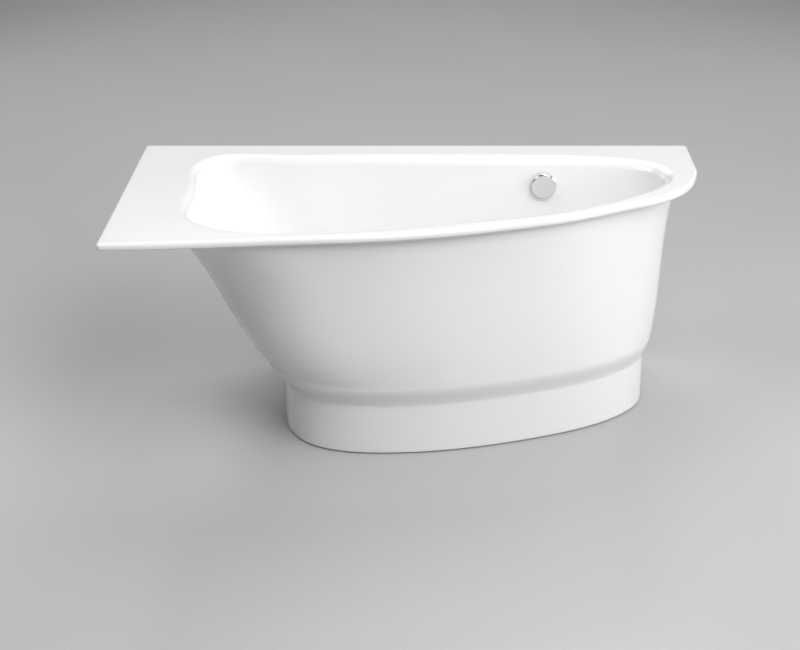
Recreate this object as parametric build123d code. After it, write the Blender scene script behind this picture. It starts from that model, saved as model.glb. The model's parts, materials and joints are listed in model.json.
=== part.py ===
from build123d import *
import math
import os

os.makedirs("parts", exist_ok=True)

# Asymmetric corner bath of cast stone. It stands on the floor at z = 0, the middle of its outline is
# at x = y = 0, +X points to the foot end and +Y to the wall behind. All lengths are in millimetres.

# Overall size
LENGTH = 1500.0
WIDTH = 750.0
HEIGHT = 640.0
OVERRUN = 5.0
SLIP = 0.05
SEAT_GAP = 0.3

# Deck: straight at the back and at the head end, bowed in front. The shares are of length and width.
RIM_FRONT_SHARES = (
    (-0.5, -0.5), (-0.25, -0.4607), (0.0, -0.4045), (0.16, -0.3187), (0.2667, -0.2387),
    (0.3567, -0.1395), (0.4267, -0.0253), (0.4713, 0.0747), (0.4933, 0.1787), (0.5, 0.2333),
)
DECK_THICKNESS = 18.0
DECK_CORNER_RADIUS = 8.0
DECK_TOP_ROUND = 6.0
DECK_UNDER_ROUND = 4.0

# Bowl: the edge where the deck starts to roll in, and the edge of the flat floor
OPENING_SHARES = (
    (-0.392, 0.08), (-0.39, -0.0933), (-0.3787, -0.24), (-0.3367, -0.3507), (-0.2667, -0.404),
    (-0.16, -0.412), (-0.0267, -0.372), (0.1133, -0.3), (0.2467, -0.216), (0.36, -0.084),
    (0.4333, 0.0493), (0.4573, 0.16), (0.4367, 0.2733), (0.3733, 0.3427), (0.26, 0.3787),
    (0.0733, 0.3853), (-0.1267, 0.3853), (-0.2667, 0.3853), (-0.3433, 0.372), (-0.3833, 0.284),
)
FLOOR_SHARES = (
    (-0.21, 0.0533), (-0.2073, -0.0267), (-0.1933, -0.088), (-0.1567, -0.1307), (-0.1033, -0.1507),
    (-0.0367, -0.1573), (0.0367, -0.1507), (0.1133, -0.1293), (0.1933, -0.0893), (0.2667, -0.0307),
    (0.3167, 0.0293), (0.3373, 0.0933), (0.3267, 0.1573), (0.28, 0.192), (0.2, 0.2027),
    (0.0733, 0.204), (-0.0467, 0.204), (-0.1267, 0.2), (-0.1767, 0.1813), (-0.202, 0.1267),
)
BOWL_WALL = 12.0
ROLL_RADIUS = 30.0
FLOOR_RADIUS = 70.0
BEND_ANGLES = (0.0, 25.0, 50.0, 75.0)

# Skirt: plinth line, shoulder above it, and the line where the skirt meets the deck
PLINTH_SHARES = (
    (-0.2313, -0.0467), (-0.22, -0.1467), (-0.1873, -0.24), (-0.1333, -0.2947), (-0.0533, -0.312),
    (0.04, -0.296), (0.1333, -0.2533), (0.2267, -0.1907), (0.3067, -0.1173), (0.3733, -0.0187),
    (0.4047, 0.0667), (0.4147, 0.1533),
)
SKIRT_TOP_SHARES = (
    (-0.4233, -0.08), (-0.4133, -0.2333), (-0.3767, -0.3533), (-0.3033, -0.424), (-0.1933, -0.4213),
    (-0.0733, -0.3933), (0.04, -0.348), (0.1533, -0.288), (0.26, -0.2053), (0.36, -0.0853),
    (0.43, 0.0267), (0.4573, 0.1733),
)
HEAD_END_SHARES = (1.0, 0.8, 0.45, 0.2, 0.05, 0.0, 0.0, 0.0, 0.0, 0.0, 0.0, 0.0)
HEAD_BELLY_SHARES = (0.3, 0.7)
FOOT_BELLY_SHARES = (0.576, 1.92)
SHOULDER_STEPS = 4
BODY_STEPS = 6
SKIRT_WALL = 12.0
SKIRT_BACK_GAP = 20.0
FLOOR_GAP = 3.0
PLINTH_HEIGHT = 138.0
SHOULDER_HEIGHT = 62.0
SHOULDER_REACH = 20.0
HEAD_SHOULDER_REACH = 46.0
BOND_THICKNESS = 2.0
BOND_INSET = 2.0

# Feet: studs in brass inserts under the floor, one near each corner of it
HEAD_FEET_X_SHARE = -0.15
HEAD_FEET_Y_SHARES = (-0.14, 0.22)
FOOT_FEET_REACH = 122.0
FOOT_FEET_Y_SHARES = (-0.0027, 0.2)
BOSS_RADIUS = 20.0
BOSS_LENGTH = 40.0
BOSS_BITE = 12.0
INSERT_RADIUS = 10.0
INSERT_LENGTH = 36.0
STUD_RADIUS = 6.0
STUD_END_GAP = 10.0
STUD_LIFT = 4.0
COLLAR_WIDTH = 16.0
COLLAR_HEIGHT = 6.0
PAD_RADIUS = 25.0
PAD_NECK_RADIUS = 11.0
PAD_RIM_HEIGHT = 5.0
PAD_HEIGHT = 16.0
LOCKNUT_WIDTH = 19.0
LOCKNUT_HEIGHT = 7.0

# Place of the waste and of the overflow above it
WASTE_X_SHARE = 0.232
WASTE_Y_SHARE = 0.0667
OVERFLOW_DROP = 74.0

# Waste: flange in a dished seat, body under the floor
DISH_RADIUS = 85.0
DISH_DEPTH = 4.0
SEAT_RADIUS = 38.0
WASTE_HOLE_RADIUS = 25.0
FLANGE_RADIUS = 35.0
FLANGE_THICKNESS = 2.5
FLANGE_SEAL_THICKNESS = 1.5
FLANGE_SEAL_INSET = 2.0
NECK_RADIUS = 23.0
NECK_WALL = 2.5
NECK_LENGTH = 30.0
GUIDE_RADIUS = 7.0
GUIDE_HEIGHT = 7.0
SPOKE_WIDTH = 4.0
SPOKE_COUNT = 3
BODY_SEAL_THICKNESS = 2.5
BODY_FLANGE_RADIUS = 40.0
BODY_FLANGE_THICKNESS = 4.0
BODY_RADIUS = 30.0
BODY_WALL = 3.0
BODY_LENGTH = 77.0
SPIGOT_RADIUS = 18.0
SPIGOT_WALL = 2.5
SPIGOT_LENGTH = 22.0
SOCKET_LENGTH = 16.0
SOCKET_WALL = 3.5
INLET_RISE = 20.0

# Plug and the lever that lifts it
PLUG_RADIUS = 27.0
PLUG_THICKNESS = 4.0
PLUG_CROWN = 1.5
PLUG_SKIRT_DEPTH = 5.0
PLUG_SKIRT_GAP = 1.0
PLUG_SEAL_THICKNESS = 1.5
PLUG_SEAL_GAP = 0.3
STEM_RADIUS = 4.0
STEM_LEVER_GAP = 0.5
ARM_REACH = 30.0
ARM_SIDE_STEP = 2.0
ARM_THICKNESS = 5.0
LEVER_WIDTH = 8.0
LEVER_HUB_RADIUS = 6.0
LEVER_PIN_RADIUS = 2.5
TAIL_HEIGHT = 26.0
TAIL_THICKNESS = 6.0
LEVER_DROP = 37.5
CHAMBER_LENGTH = 51.0
CHAMBER_WIDTH = 20.0
CHAMBER_WALL = 3.5
CHAMBER_TOP_GAP = 1.5
CHAMBER_HEIGHT = 42.0

# Overflow set on the back wall. Depths run from the inner face of the wall outwards.
SPOT_RADIUS = 32.5
SPOT_DEPTH = 1.0
WALL_PAD_RADIUS = 42.0
WALL_PAD_DEPTH = 14.0
OVERFLOW_HOLE_RADIUS = 25.0
KNOB_RADIUS = 34.5
KNOB_DEPTH = 16.0
KNOB_GAP = 4.0
KNOB_WALL = 2.5
KNOB_CROWN = 2.0
KNOB_ROUND = 4.0
KNOB_HUB_RADIUS = 8.0
PLATE_RADIUS = 31.0
PLATE_THICKNESS = 3.0
PLATE_SLOT_RADIUS = 4.0
PLATE_SLOT_PITCH_RADIUS = 15.0
PLATE_SLOT_COUNT = 6
SCREW_PLACE = 20.0
SCREW_RADIUS = 2.5
SCREW_HEAD_RADIUS = 4.5
SCREW_HEAD_HEIGHT = 2.5
SCREW_LENGTH = 32.0
SPINDLE_RADIUS = 3.0
BEARING_RADIUS = 7.0
BEARING_LENGTH = 9.0
WALL_SEAL_THICKNESS = 3.0
HOUSING_FLANGE_RADIUS = 38.0
HOUSING_FLANGE_THICKNESS = 4.0
HOUSING_RADIUS = 31.0
HOUSING_WALL = 3.0
HOUSING_DEPTH = 45.0
LUG_WIDTH = 10.0
LUG_START = 7.0
LUG_DEPTH = 12.0
DRUM_RADIUS = 5.0
WIRE_RADIUS = 0.75
DRUM_CHEEK_RADIUS = 9.0
DRUM_GROOVE = 3.0
DRUM_WIDTH = 7.0
DRUM_DEPTH = 46.0
GLAND_BOSS_RADIUS = 7.0
GLAND_BOSS_LENGTH = 6.0
WIRE_HOLE_RADIUS = 1.2

# Overflow hose and the elbow that leads it into the waste body
HOSE_DEPTH = 36.0
HOSE_BORE_RADIUS = 13.0
SPIGOT_END = 62.0
COLLAR_START = 46.0
COLLAR_THICKNESS = 3.0
COLLAR_RADIUS = 17.0
HOSE_END_LIFT = 86.5
CUFF_LENGTH = 17.0
CUFF_RADIUS = 15.0
RIB_RADIUS = 17.5
RIB_ROOT_RADIUS = 14.8
RIB_PITCH = 10.6
TUBE_WALL = 2.0
NUT_RADIUS = 20.0
NUT_LENGTH = 15.0
ELBOW_RADIUS = 30.0

# Drive cable in its sleeve, from the overflow housing to the lever chamber
CABLE_RADIUS = 2.5
CABLE_SIDE = 92.0
CABLE_BEND_RADIUS = 28.0
CABLE_EASY_RADIUS = 80.0
CABLE_WALL_GAP = 12.0
CABLE_TOP_LEVEL_SHARE = 0.616
CABLE_FOLLOW_LEVEL_SHARE = 0.218
GLAND_RADIUS = 5.0
GLAND_LENGTH = 9.0
CLIP_LEVEL_SHARES = (0.488, 0.204)
CLIP_WIDTH = 10.0
CLIP_WALL = 2.0
CLIP_FOOT_LENGTH = 22.0
CLIP_FOOT_THICKNESS = 3.0

# Cup trap and outlet pipe
TRAP_RADIUS = 38.0
TRAP_WALL = 3.0
TRAP_HEIGHT = 48.0
TRAP_NECK_WALL = 4.0
TRAP_NECK_LENGTH = 18.0
DIP_WALL = 2.0
DIP_LENGTH = 40.0
SPIGOT_END_GAP = 2.5
CUP_BOTTOM = 8.0
CUP_DROP = 18.0
CUP_WALL = 3.0
CUP_HEIGHT = 42.0
CUP_GRIP_RADIUS = 41.0
CUP_GRIP_HEIGHT = 16.0
CUP_RIB_COUNT = 12
CUP_RIB_RADIUS = 2.0
TRAP_NUT_RADIUS = 28.0
TRAP_NUT_HEIGHT = 15.0
TRAP_NUT_LIP = 3.0
OUTLET_RADIUS = 20.0
OUTLET_WALL = 1.8
OUTLET_SOCKET_WALL = 3.0
OUTLET_SOCKET_LENGTH = 30.0
OUTLET_END_GAP = 35.0
OUTLET_BELL_LENGTH = 35.0
OUTLET_BELL_WALL = 2.5
OUTLET_NUT_RADIUS = 28.0
OUTLET_NUT_LENGTH = 20.0
OUTLET_NUT_LIP = 3.0

# Places worked out from the sizes above
DECK_UNDERSIDE = HEIGHT - DECK_THICKNESS
SKIRT_TOP = DECK_UNDERSIDE - BOND_THICKNESS
SHOULDER_TOP = PLINTH_HEIGHT + SHOULDER_HEIGHT
SKIRT_BACK = WIDTH / 2 - SKIRT_BACK_GAP
TRAP_BOTTOM = CUP_BOTTOM + CUP_DROP
TRAP_TOP = TRAP_BOTTOM + TRAP_HEIGHT
BODY_BOTTOM = TRAP_TOP + SPIGOT_END_GAP + SPIGOT_LENGTH
BODY_TOP = BODY_BOTTOM + BODY_LENGTH
FLOOR_UNDERSIDE = BODY_TOP + BODY_SEAL_THICKNESS
FLOOR_TOP = FLOOR_UNDERSIDE + BOWL_WALL
BOSS_END = FLOOR_UNDERSIDE - BOSS_LENGTH
WASTE_X = LENGTH * WASTE_X_SHARE
WASTE_Y = WIDTH * WASTE_Y_SHARE
SEAT_LEVEL = FLOOR_TOP - DISH_DEPTH
FLANGE_BOTTOM = SEAT_LEVEL + FLANGE_SEAL_THICKNESS
FLANGE_TOP = FLANGE_BOTTOM + FLANGE_THICKNESS
INLET_LEVEL = BODY_BOTTOM + INLET_RISE
LEVER_LEVEL = BODY_TOP - LEVER_DROP
LEVER_X = WASTE_X + ARM_REACH + ARM_SIDE_STEP
STEM_BOTTOM = LEVER_LEVEL + ARM_THICKNESS / 2 + STEM_LEVER_GAP
CHAMBER_TOP = BODY_TOP - BODY_FLANGE_THICKNESS - CHAMBER_TOP_GAP
WIRE_LEVEL = LEVER_LEVEL + TAIL_HEIGHT - DRUM_GROOVE / 2
HOUSING_START = WALL_PAD_DEPTH + WALL_SEAL_THICKNESS
HOUSING_END = HOUSING_START + HOUSING_DEPTH
OUTLET_LEVEL = TRAP_BOTTOM + OUTLET_RADIUS + OUTLET_SOCKET_WALL


def spread(shares):
    """Points of an outline, from shares of the bath's length and width."""
    return [Vector(LENGTH * x, WIDTH * y) for x, y in shares]


def outward(points, closed):
    """Unit normals of a line of points that runs round the bath against the clock."""
    normals = []
    last = len(points) - 1
    for index in range(len(points)):
        before = points[index - 1] if index or closed else None
        after = points[(index + 1) % len(points)] if index < last or closed else None
        if before is None:
            normals.append(Vector(-1, 0))
        elif after is None:
            normals.append(Vector(1, 0))
        else:
            along = (after - before).normalized()
            normals.append(Vector(along.Y, -along.X))
    return normals


def pushed(points, reach, closed=True):
    """The same points moved outwards by one reach, or by a list of them."""
    reaches = reach if isinstance(reach, list) else [reach] * len(points)
    normals = outward(points, closed)
    return [point + normal * far for point, normal, far in zip(points, normals, reaches)]


def at_level(points, level):
    """Flat points lifted to one height."""
    return [Vector(point.X, point.Y, level) for point in points]


def disc(radius, thickness):
    """A round disc that stands on the XY plane."""
    return extrude(Circle(radius), amount=thickness)


def tube(radius, bore, length):
    """A round tube that stands on the XY plane."""
    return extrude(Circle(radius) - Circle(bore), amount=length)


def hexagon(width, height):
    """A hexagon nut blank that stands on the XY plane, measured across its flats."""
    return extrude(RegularPolygon(width / 2, 6, major_radius=False), amount=height)


def turned(points):
    """A body turned about the Z axis from points given as radius and height."""
    outline = Polyline(*[(radius, 0, height) for radius, height in points], close=True)
    return revolve(make_face(outline), Axis.Z)


def block(x_range, y_range, z_range):
    """A box between two X, two Y and two Z values."""
    size = [high - low for low, high in (x_range, y_range, z_range)]
    low = [pair[0] for pair in (x_range, y_range, z_range)]
    return Pos(*low) * Box(*size, align=(Align.MIN, Align.MIN, Align.MIN))


def crown_arc(radius, level, rise):
    """An arc in the XZ plane from a rim to the crown on the Z axis, with its centre on that axis."""
    bend = (radius ** 2 + rise ** 2) / (2 * rise)
    centre = level + rise - bend
    half = math.asin(radius / abs(bend)) / 2
    middle = (abs(bend) * math.sin(half), 0, centre + bend * math.cos(half))
    return ThreePointArc((radius, 0, level), middle, (0, 0, level + rise))


def lying(shape):
    """A shape turned from standing along Z to lying along Y."""
    return Rot(-90, 0, 0) * shape


# Castings

def deck():
    """The deck slab with its bowed front and its rounded rim."""
    front = spread(RIM_FRONT_SHARES)
    start, end = front[0], front[-1]
    back_right = Vector(end.X, WIDTH / 2)
    back_left = Vector(start.X, WIDTH / 2)
    edges = [
        Edge.make_spline(front, tangents=[Vector(1, 0), Vector(0, 1)], scale=False),
        Edge.make_line(end, back_right),
        Edge.make_line(back_right, back_left),
        Edge.make_line(back_left, start),
    ]
    outline = Face(Wire(edges))
    corners = [vertex for vertex in outline.vertices() if abs(vertex.Y - end.Y) > DECK_CORNER_RADIUS]
    outline = outline.fillet_2d(DECK_CORNER_RADIUS, corners)
    slab = Pos(0, 0, DECK_UNDERSIDE) * extrude(outline, amount=DECK_THICKNESS)
    faces = slab.faces().sort_by(Axis.Z)
    slab = fillet(faces[-1].edges(), DECK_TOP_ROUND)
    return fillet(slab.faces().sort_by(Axis.Z)[0].edges(), DECK_UNDER_ROUND)


def stacked(groups):
    """One solid from lofts that stand on each other, each through its own group of wires."""
    lofts = [Solid.make_loft(wires) for wires in groups]
    body = lofts[0]
    for loft_above in lofts[1:]:
        body += loft_above
    return body


def bowl_wire(points, level):
    """A closed ring of the bowl at one height."""
    return Wire([Edge.make_spline(at_level(points, level), periodic=True)])


def bowl_body(skin):
    """The bowl as a solid: rolled edge, straight wall, rounded foot. Skin is its outward offset."""
    opening = spread(OPENING_SHARES)
    floor = spread(FLOOR_SHARES)
    roll = []
    foot = []
    for angle in BEND_ANGLES:
        turn = math.radians(angle)
        reach = (ROLL_RADIUS - skin) * math.sin(turn)
        level = HEIGHT - ROLL_RADIUS + (ROLL_RADIUS - skin) * math.cos(turn)
        roll.append(bowl_wire(pushed(opening, -reach), level))
        reach = (FLOOR_RADIUS + skin) * math.sin(turn)
        level = FLOOR_TOP + FLOOR_RADIUS - (FLOOR_RADIUS + skin) * math.cos(turn)
        foot.append(bowl_wire(pushed(floor, reach), level))
    return stacked([foot, [foot[-1], roll[-1]], roll[::-1]])


BOWL_INSIDE = bowl_body(0)
BOWL_OUTSIDE = bowl_body(BOWL_WALL)


def back_face(body, x, level):
    """Where the back of a bowl body lies at one place along the bath and one height."""
    hits = body.find_intersection_points(Axis((x, 0, level), (0, 1, 0)))
    return max(point.Y for point, _ in hits)


def overflow_frame():
    """Frame on the inner face of the back wall: X along the bath, Y down the wall, Z outwards."""
    level = HEIGHT - OVERFLOW_DROP
    place = back_face(BOWL_INSIDE, WASTE_X, level)
    above = back_face(BOWL_INSIDE, WASTE_X, level + KNOB_RADIUS)
    below = back_face(BOWL_INSIDE, WASTE_X, level - KNOB_RADIUS)
    lean = math.atan2(above - below, KNOB_RADIUS * 2)
    return Plane(
        origin=(WASTE_X, place, level), x_dir=(1, 0, 0), z_dir=(0, math.cos(lean), -math.sin(lean))
    )


OVERFLOW = overflow_frame()


def on_wall(x, y, depth):
    """A placing in the overflow's frame."""
    return OVERFLOW.location * Pos(x, y, depth)


def down_wall(x, y, depth):
    """A placing in the overflow's frame for shapes that stand along the hose, down the wall."""
    return on_wall(x, y, depth) * Rot(-90, 0, 0)


def foot_places():
    """The four places of the feet: two near the head end, two beyond the waste and its cable."""
    head = [Vector(LENGTH * HEAD_FEET_X_SHARE, WIDTH * share) for share in HEAD_FEET_Y_SHARES]
    foot = [Vector(WASTE_X + FOOT_FEET_REACH, WIDTH * share) for share in FOOT_FEET_Y_SHARES]
    return head + foot


def dish():
    """The cut that falls from the floor to the waste's seat, with the hole through the floor."""
    fall = turned(
        [(0, SEAT_LEVEL), (SEAT_RADIUS, SEAT_LEVEL), (DISH_RADIUS, FLOOR_TOP), (0, FLOOR_TOP)]
    )
    hole = Pos(0, 0, FLOOR_UNDERSIDE - OVERRUN) * disc(WASTE_HOLE_RADIUS, BOWL_WALL + OVERRUN)
    return Pos(WASTE_X, WASTE_Y) * (fall + hole)


def basin_shell():
    """The basin casting: deck, bowl, foot bosses and the seats of the waste and the overflow."""
    shell = deck() + BOWL_OUTSIDE
    shell += on_wall(0, 0, BOWL_WALL / 2) * disc(WALL_PAD_RADIUS, WALL_PAD_DEPTH - BOWL_WALL / 2)
    for place in foot_places():
        shell += Pos(place.X, place.Y, BOSS_END) * disc(BOSS_RADIUS, BOSS_LENGTH + BOSS_BITE)
    shell -= BOWL_INSIDE
    for place in foot_places():
        shell -= Pos(place.X, place.Y, BOSS_END) * disc(INSERT_RADIUS + SLIP, INSERT_LENGTH)
    shell -= dish()
    shell -= on_wall(0, 0, SPOT_DEPTH - OVERRUN) * disc(SPOT_RADIUS, OVERRUN)
    shell -= on_wall(0, 0, 0) * disc(OVERFLOW_HOLE_RADIUS, WALL_PAD_DEPTH + OVERRUN)
    return shell


def belly(rise, head_share):
    """How far the skirt has swung from its shoulder to its top at one share of the height."""
    swings = []
    for high, low in (HEAD_BELLY_SHARES, FOOT_BELLY_SHARES):
        swings.append(rise * (1 + (1 - rise) * (high - low * rise)))
    return swings[1] + (swings[0] - swings[1]) * head_share


def skirt_line(level, inset):
    """The skirt's outline at one height, from the head end round the front to the foot end."""
    line = spread(PLINTH_SHARES)
    if level > PLINTH_HEIGHT:
        share = min(1, (level - PLINTH_HEIGHT) / SHOULDER_HEIGHT)
        swell = share * share * (3 - 2 * share)
        extra = HEAD_SHOULDER_REACH - SHOULDER_REACH
        reaches = [swell * (SHOULDER_REACH + extra * head) for head in HEAD_END_SHARES]
        line = pushed(line, reaches, closed=False)
    if level > SHOULDER_TOP:
        rise = (level - SHOULDER_TOP) / (SKIRT_TOP - SHOULDER_TOP)
        top = spread(SKIRT_TOP_SHARES)
        line = [
            low + (high - low) * belly(rise, head)
            for low, high, head in zip(line, top, HEAD_END_SHARES)
        ]
    return pushed(line, -inset, closed=False)


def skirt_ring(level, inset, back):
    """A closed wire round the skirt at one height: head side, front, foot side and back."""
    line = at_level(skirt_line(level, inset), level)
    start, end = line[0], line[-1]
    back_left = Vector(start.X, back, level)
    back_right = Vector(end.X, back, level)
    return Wire([
        Edge.make_line(back_left, start),
        Edge.make_spline(line, tangents=[Vector(0, -1), Vector(0, 1)], scale=False),
        Edge.make_line(end, back_right),
        Edge.make_line(back_right, back_left),
    ])


def levels_between(low, high, steps):
    """Heights in even steps from the low one to the high one, both of them included."""
    return [low + (high - low) * step / steps for step in range(steps + 1)]


def skirt_body(inset, back, bottom):
    """A solid of the skirt's outer form, or of the room within its wall."""
    shoulder = levels_between(PLINTH_HEIGHT, SHOULDER_TOP, SHOULDER_STEPS)
    body = levels_between(SHOULDER_TOP, SKIRT_TOP, BODY_STEPS)
    groups = [[skirt_ring(level, inset, back) for level in levels] for levels in (shoulder, body)]
    plinth = extrude(Face(groups[0][0]), amount=PLINTH_HEIGHT - bottom, dir=(0, 0, -1))
    return plinth + stacked(groups)


def outer_skirt():
    """The skirt casting: body wall and plinth in one, open towards the wall behind."""
    outside = skirt_body(0, SKIRT_BACK, FLOOR_GAP)
    inside = skirt_body(SKIRT_WALL, SKIRT_BACK + OVERRUN, FLOOR_GAP - OVERRUN)
    return outside - inside


def skirt_bond():
    """The bead of adhesive between the skirt's top and the deck."""
    outside = Face(skirt_ring(SKIRT_TOP, BOND_INSET, SKIRT_BACK - BOND_INSET))
    inside = Face(skirt_ring(SKIRT_TOP, SKIRT_WALL - BOND_INSET, SKIRT_BACK + OVERRUN))
    return extrude(outside - inside, amount=BOND_THICKNESS)


# Feet

def foot_inserts():
    """Threaded brass inserts, one in each boss."""
    insert = tube(INSERT_RADIUS, STUD_RADIUS + SLIP, INSERT_LENGTH)
    return [Pos(place.X, place.Y, BOSS_END) * insert for place in foot_places()]


def foot_locknuts():
    """Lock nuts, one against each boss."""
    nut = hexagon(LOCKNUT_WIDTH, LOCKNUT_HEIGHT) - disc(STUD_RADIUS + SLIP, LOCKNUT_HEIGHT)
    return [Pos(place.X, place.Y, BOSS_END - LOCKNUT_HEIGHT) * nut for place in foot_places()]


def foot_stud(place):
    """A stud with a hexagon collar that stands on the foot pad."""
    length = BOSS_END + INSERT_LENGTH - STUD_END_GAP - STUD_LIFT
    stud = Pos(0, 0, STUD_LIFT) * disc(STUD_RADIUS, length)
    collar = Pos(0, 0, PAD_HEIGHT) * hexagon(COLLAR_WIDTH, COLLAR_HEIGHT)
    return Pos(place.X, place.Y) * (stud + collar)


def foot_pad(place):
    """A cone-shaped pad with a blind socket for the stud."""
    pad = turned([
        (0, 0), (PAD_RADIUS, 0), (PAD_RADIUS, PAD_RIM_HEIGHT), (PAD_NECK_RADIUS, PAD_HEIGHT),
        (0, PAD_HEIGHT),
    ])
    pad -= Pos(0, 0, STUD_LIFT) * disc(STUD_RADIUS + SLIP, PAD_HEIGHT)
    return Pos(place.X, place.Y) * pad


# Waste

def waste_flange():
    """The visible flange with its neck and the three-armed guide of the plug's stem."""
    bottom = FLANGE_TOP - NECK_LENGTH
    bore = NECK_RADIUS - NECK_WALL
    half = SPOKE_WIDTH / 2
    flange = Pos(0, 0, FLANGE_BOTTOM) * tube(FLANGE_RADIUS, bore, FLANGE_THICKNESS)
    neck = Pos(0, 0, bottom) * tube(NECK_RADIUS, bore, NECK_LENGTH)
    guide = disc(GUIDE_RADIUS, GUIDE_HEIGHT)
    for turn in range(SPOKE_COUNT):
        spoke = block((0, bore + NECK_WALL / 2), (-half, half), (0, GUIDE_HEIGHT))
        guide += Rot(0, 0, turn * 360 / SPOKE_COUNT) * spoke
    guide -= disc(STEM_RADIUS + SLIP, GUIDE_HEIGHT)
    return Pos(WASTE_X, WASTE_Y) * (flange + neck + Pos(0, 0, bottom) * guide)


def flange_seal():
    """The flat seal under the waste flange."""
    seal = tube(FLANGE_RADIUS - FLANGE_SEAL_INSET, NECK_RADIUS + SEAT_GAP, FLANGE_SEAL_THICKNESS)
    return Pos(WASTE_X, WASTE_Y, SEAT_LEVEL) * seal


def waste_seal():
    """The seal between the floor's underside and the waste body."""
    seal = tube(BODY_FLANGE_RADIUS, NECK_RADIUS + SEAT_GAP, BODY_SEAL_THICKNESS)
    return Pos(WASTE_X, WASTE_Y, BODY_TOP) * seal


def waste_body():
    """The body under the floor: flange, cup, outlet spigot, inlet socket and lever chamber."""
    flange_bottom = BODY_TOP - BODY_FLANGE_THICKNESS
    flange = Pos(0, 0, flange_bottom) * disc(BODY_FLANGE_RADIUS, BODY_FLANGE_THICKNESS)
    cup = Pos(0, 0, BODY_BOTTOM) * disc(BODY_RADIUS, BODY_LENGTH)
    spigot = Pos(0, 0, BODY_BOTTOM - SPIGOT_LENGTH) * disc(SPIGOT_RADIUS, SPIGOT_LENGTH)
    socket_end = BODY_RADIUS + SOCKET_LENGTH
    socket = Pos(0, 0, INLET_LEVEL) * lying(disc(HOSE_BORE_RADIUS + SOCKET_WALL, socket_end))
    half = CHAMBER_WIDTH / 2
    chamber = block((0, CHAMBER_LENGTH), (-half, half), (CHAMBER_TOP - CHAMBER_HEIGHT, CHAMBER_TOP))
    wire_line = Pos(0, 0, WIRE_LEVEL) * Rot(0, 90, 0)
    gland = wire_line * Pos(0, 0, CHAMBER_LENGTH) * disc(GLAND_RADIUS, GLAND_BOSS_LENGTH)
    body = flange + cup + spigot + socket + chamber + gland
    neck_bottom = FLANGE_TOP - NECK_LENGTH
    body -= Pos(0, 0, neck_bottom - OVERRUN) * disc(NECK_RADIUS + SLIP, NECK_LENGTH + OVERRUN)
    room_bottom = BODY_BOTTOM + BODY_WALL
    body -= Pos(0, 0, room_bottom) * disc(BODY_RADIUS - BODY_WALL, neck_bottom - room_bottom)
    bore = SPIGOT_RADIUS - SPIGOT_WALL
    body -= Pos(0, 0, BODY_BOTTOM - SPIGOT_LENGTH) * disc(bore, SPIGOT_LENGTH + BODY_WALL)
    body -= Pos(0, 0, INLET_LEVEL) * lying(disc(HOSE_BORE_RADIUS + SLIP, socket_end))
    inner = half - CHAMBER_WALL
    body -= block(
        (0, CHAMBER_LENGTH - CHAMBER_WALL), (-inner, inner),
        (CHAMBER_TOP - CHAMBER_HEIGHT + CHAMBER_WALL, CHAMBER_TOP - CHAMBER_WALL),
    )
    body -= wire_line * disc(WIRE_HOLE_RADIUS, CHAMBER_LENGTH + GLAND_BOSS_LENGTH)
    pin_hole = lying(disc(LEVER_PIN_RADIUS + SLIP, CHAMBER_WIDTH))
    body -= Pos(LEVER_X - WASTE_X, -half, LEVER_LEVEL) * pin_hole
    return Pos(WASTE_X, WASTE_Y) * body


def lifter_lever():
    """The bell crank in the waste body: a level arm under the plug's stem and an upright tail."""
    half = ARM_THICKNESS / 2
    side = Plane.XZ
    nose = Pos(-ARM_REACH, 0) * Circle(half)
    arm = Pos(-ARM_REACH / 2, 0) * Rectangle(ARM_REACH, ARM_THICKNESS)
    hub = Circle(LEVER_HUB_RADIUS)
    tail = Pos(0, TAIL_HEIGHT / 2) * Rectangle(TAIL_THICKNESS, TAIL_HEIGHT)
    profile = nose + arm + hub + tail - Circle(LEVER_PIN_RADIUS + SLIP)
    lever = extrude(side * profile, amount=LEVER_WIDTH / 2, both=True)
    return Pos(LEVER_X, WASTE_Y, LEVER_LEVEL) * lever


def lever_pin():
    """The pin that the lever turns on, held in both side walls of its chamber."""
    pin = lying(disc(LEVER_PIN_RADIUS, CHAMBER_WIDTH))
    return Pos(LEVER_X, WASTE_Y - CHAMBER_WIDTH / 2, LEVER_LEVEL) * pin


def plug_head_bottom():
    """Height of the plug head's underside, on its seal."""
    return FLANGE_TOP + PLUG_SEAL_GAP + PLUG_SEAL_THICKNESS


def waste_plug():
    """The domed plug with the skirt that centres it and its long stem."""
    low = plug_head_bottom()
    skirt_radius = NECK_RADIUS - NECK_WALL - PLUG_SKIRT_GAP
    rim = low + PLUG_THICKNESS - PLUG_CROWN
    crown = crown_arc(PLUG_RADIUS, rim, PLUG_CROWN)
    rest = Polyline(
        (0, 0, rim + PLUG_CROWN), (0, 0, STEM_BOTTOM), (STEM_RADIUS, 0, STEM_BOTTOM),
        (STEM_RADIUS, 0, low - PLUG_SKIRT_DEPTH), (skirt_radius, 0, low - PLUG_SKIRT_DEPTH),
        (skirt_radius, 0, low), (PLUG_RADIUS, 0, low), (PLUG_RADIUS, 0, rim),
    )
    return Pos(WASTE_X, WASTE_Y) * revolve(make_face(crown + rest), Axis.Z)


def plug_seal():
    """The rubber ring round the plug's skirt, under its head."""
    skirt_radius = NECK_RADIUS - NECK_WALL - PLUG_SKIRT_GAP
    ring = tube(PLUG_RADIUS - PLUG_SEAL_THICKNESS, skirt_radius + SLIP, PLUG_SEAL_THICKNESS)
    return Pos(WASTE_X, WASTE_Y, FLANGE_TOP + PLUG_SEAL_GAP) * ring


# Overflow set

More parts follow.
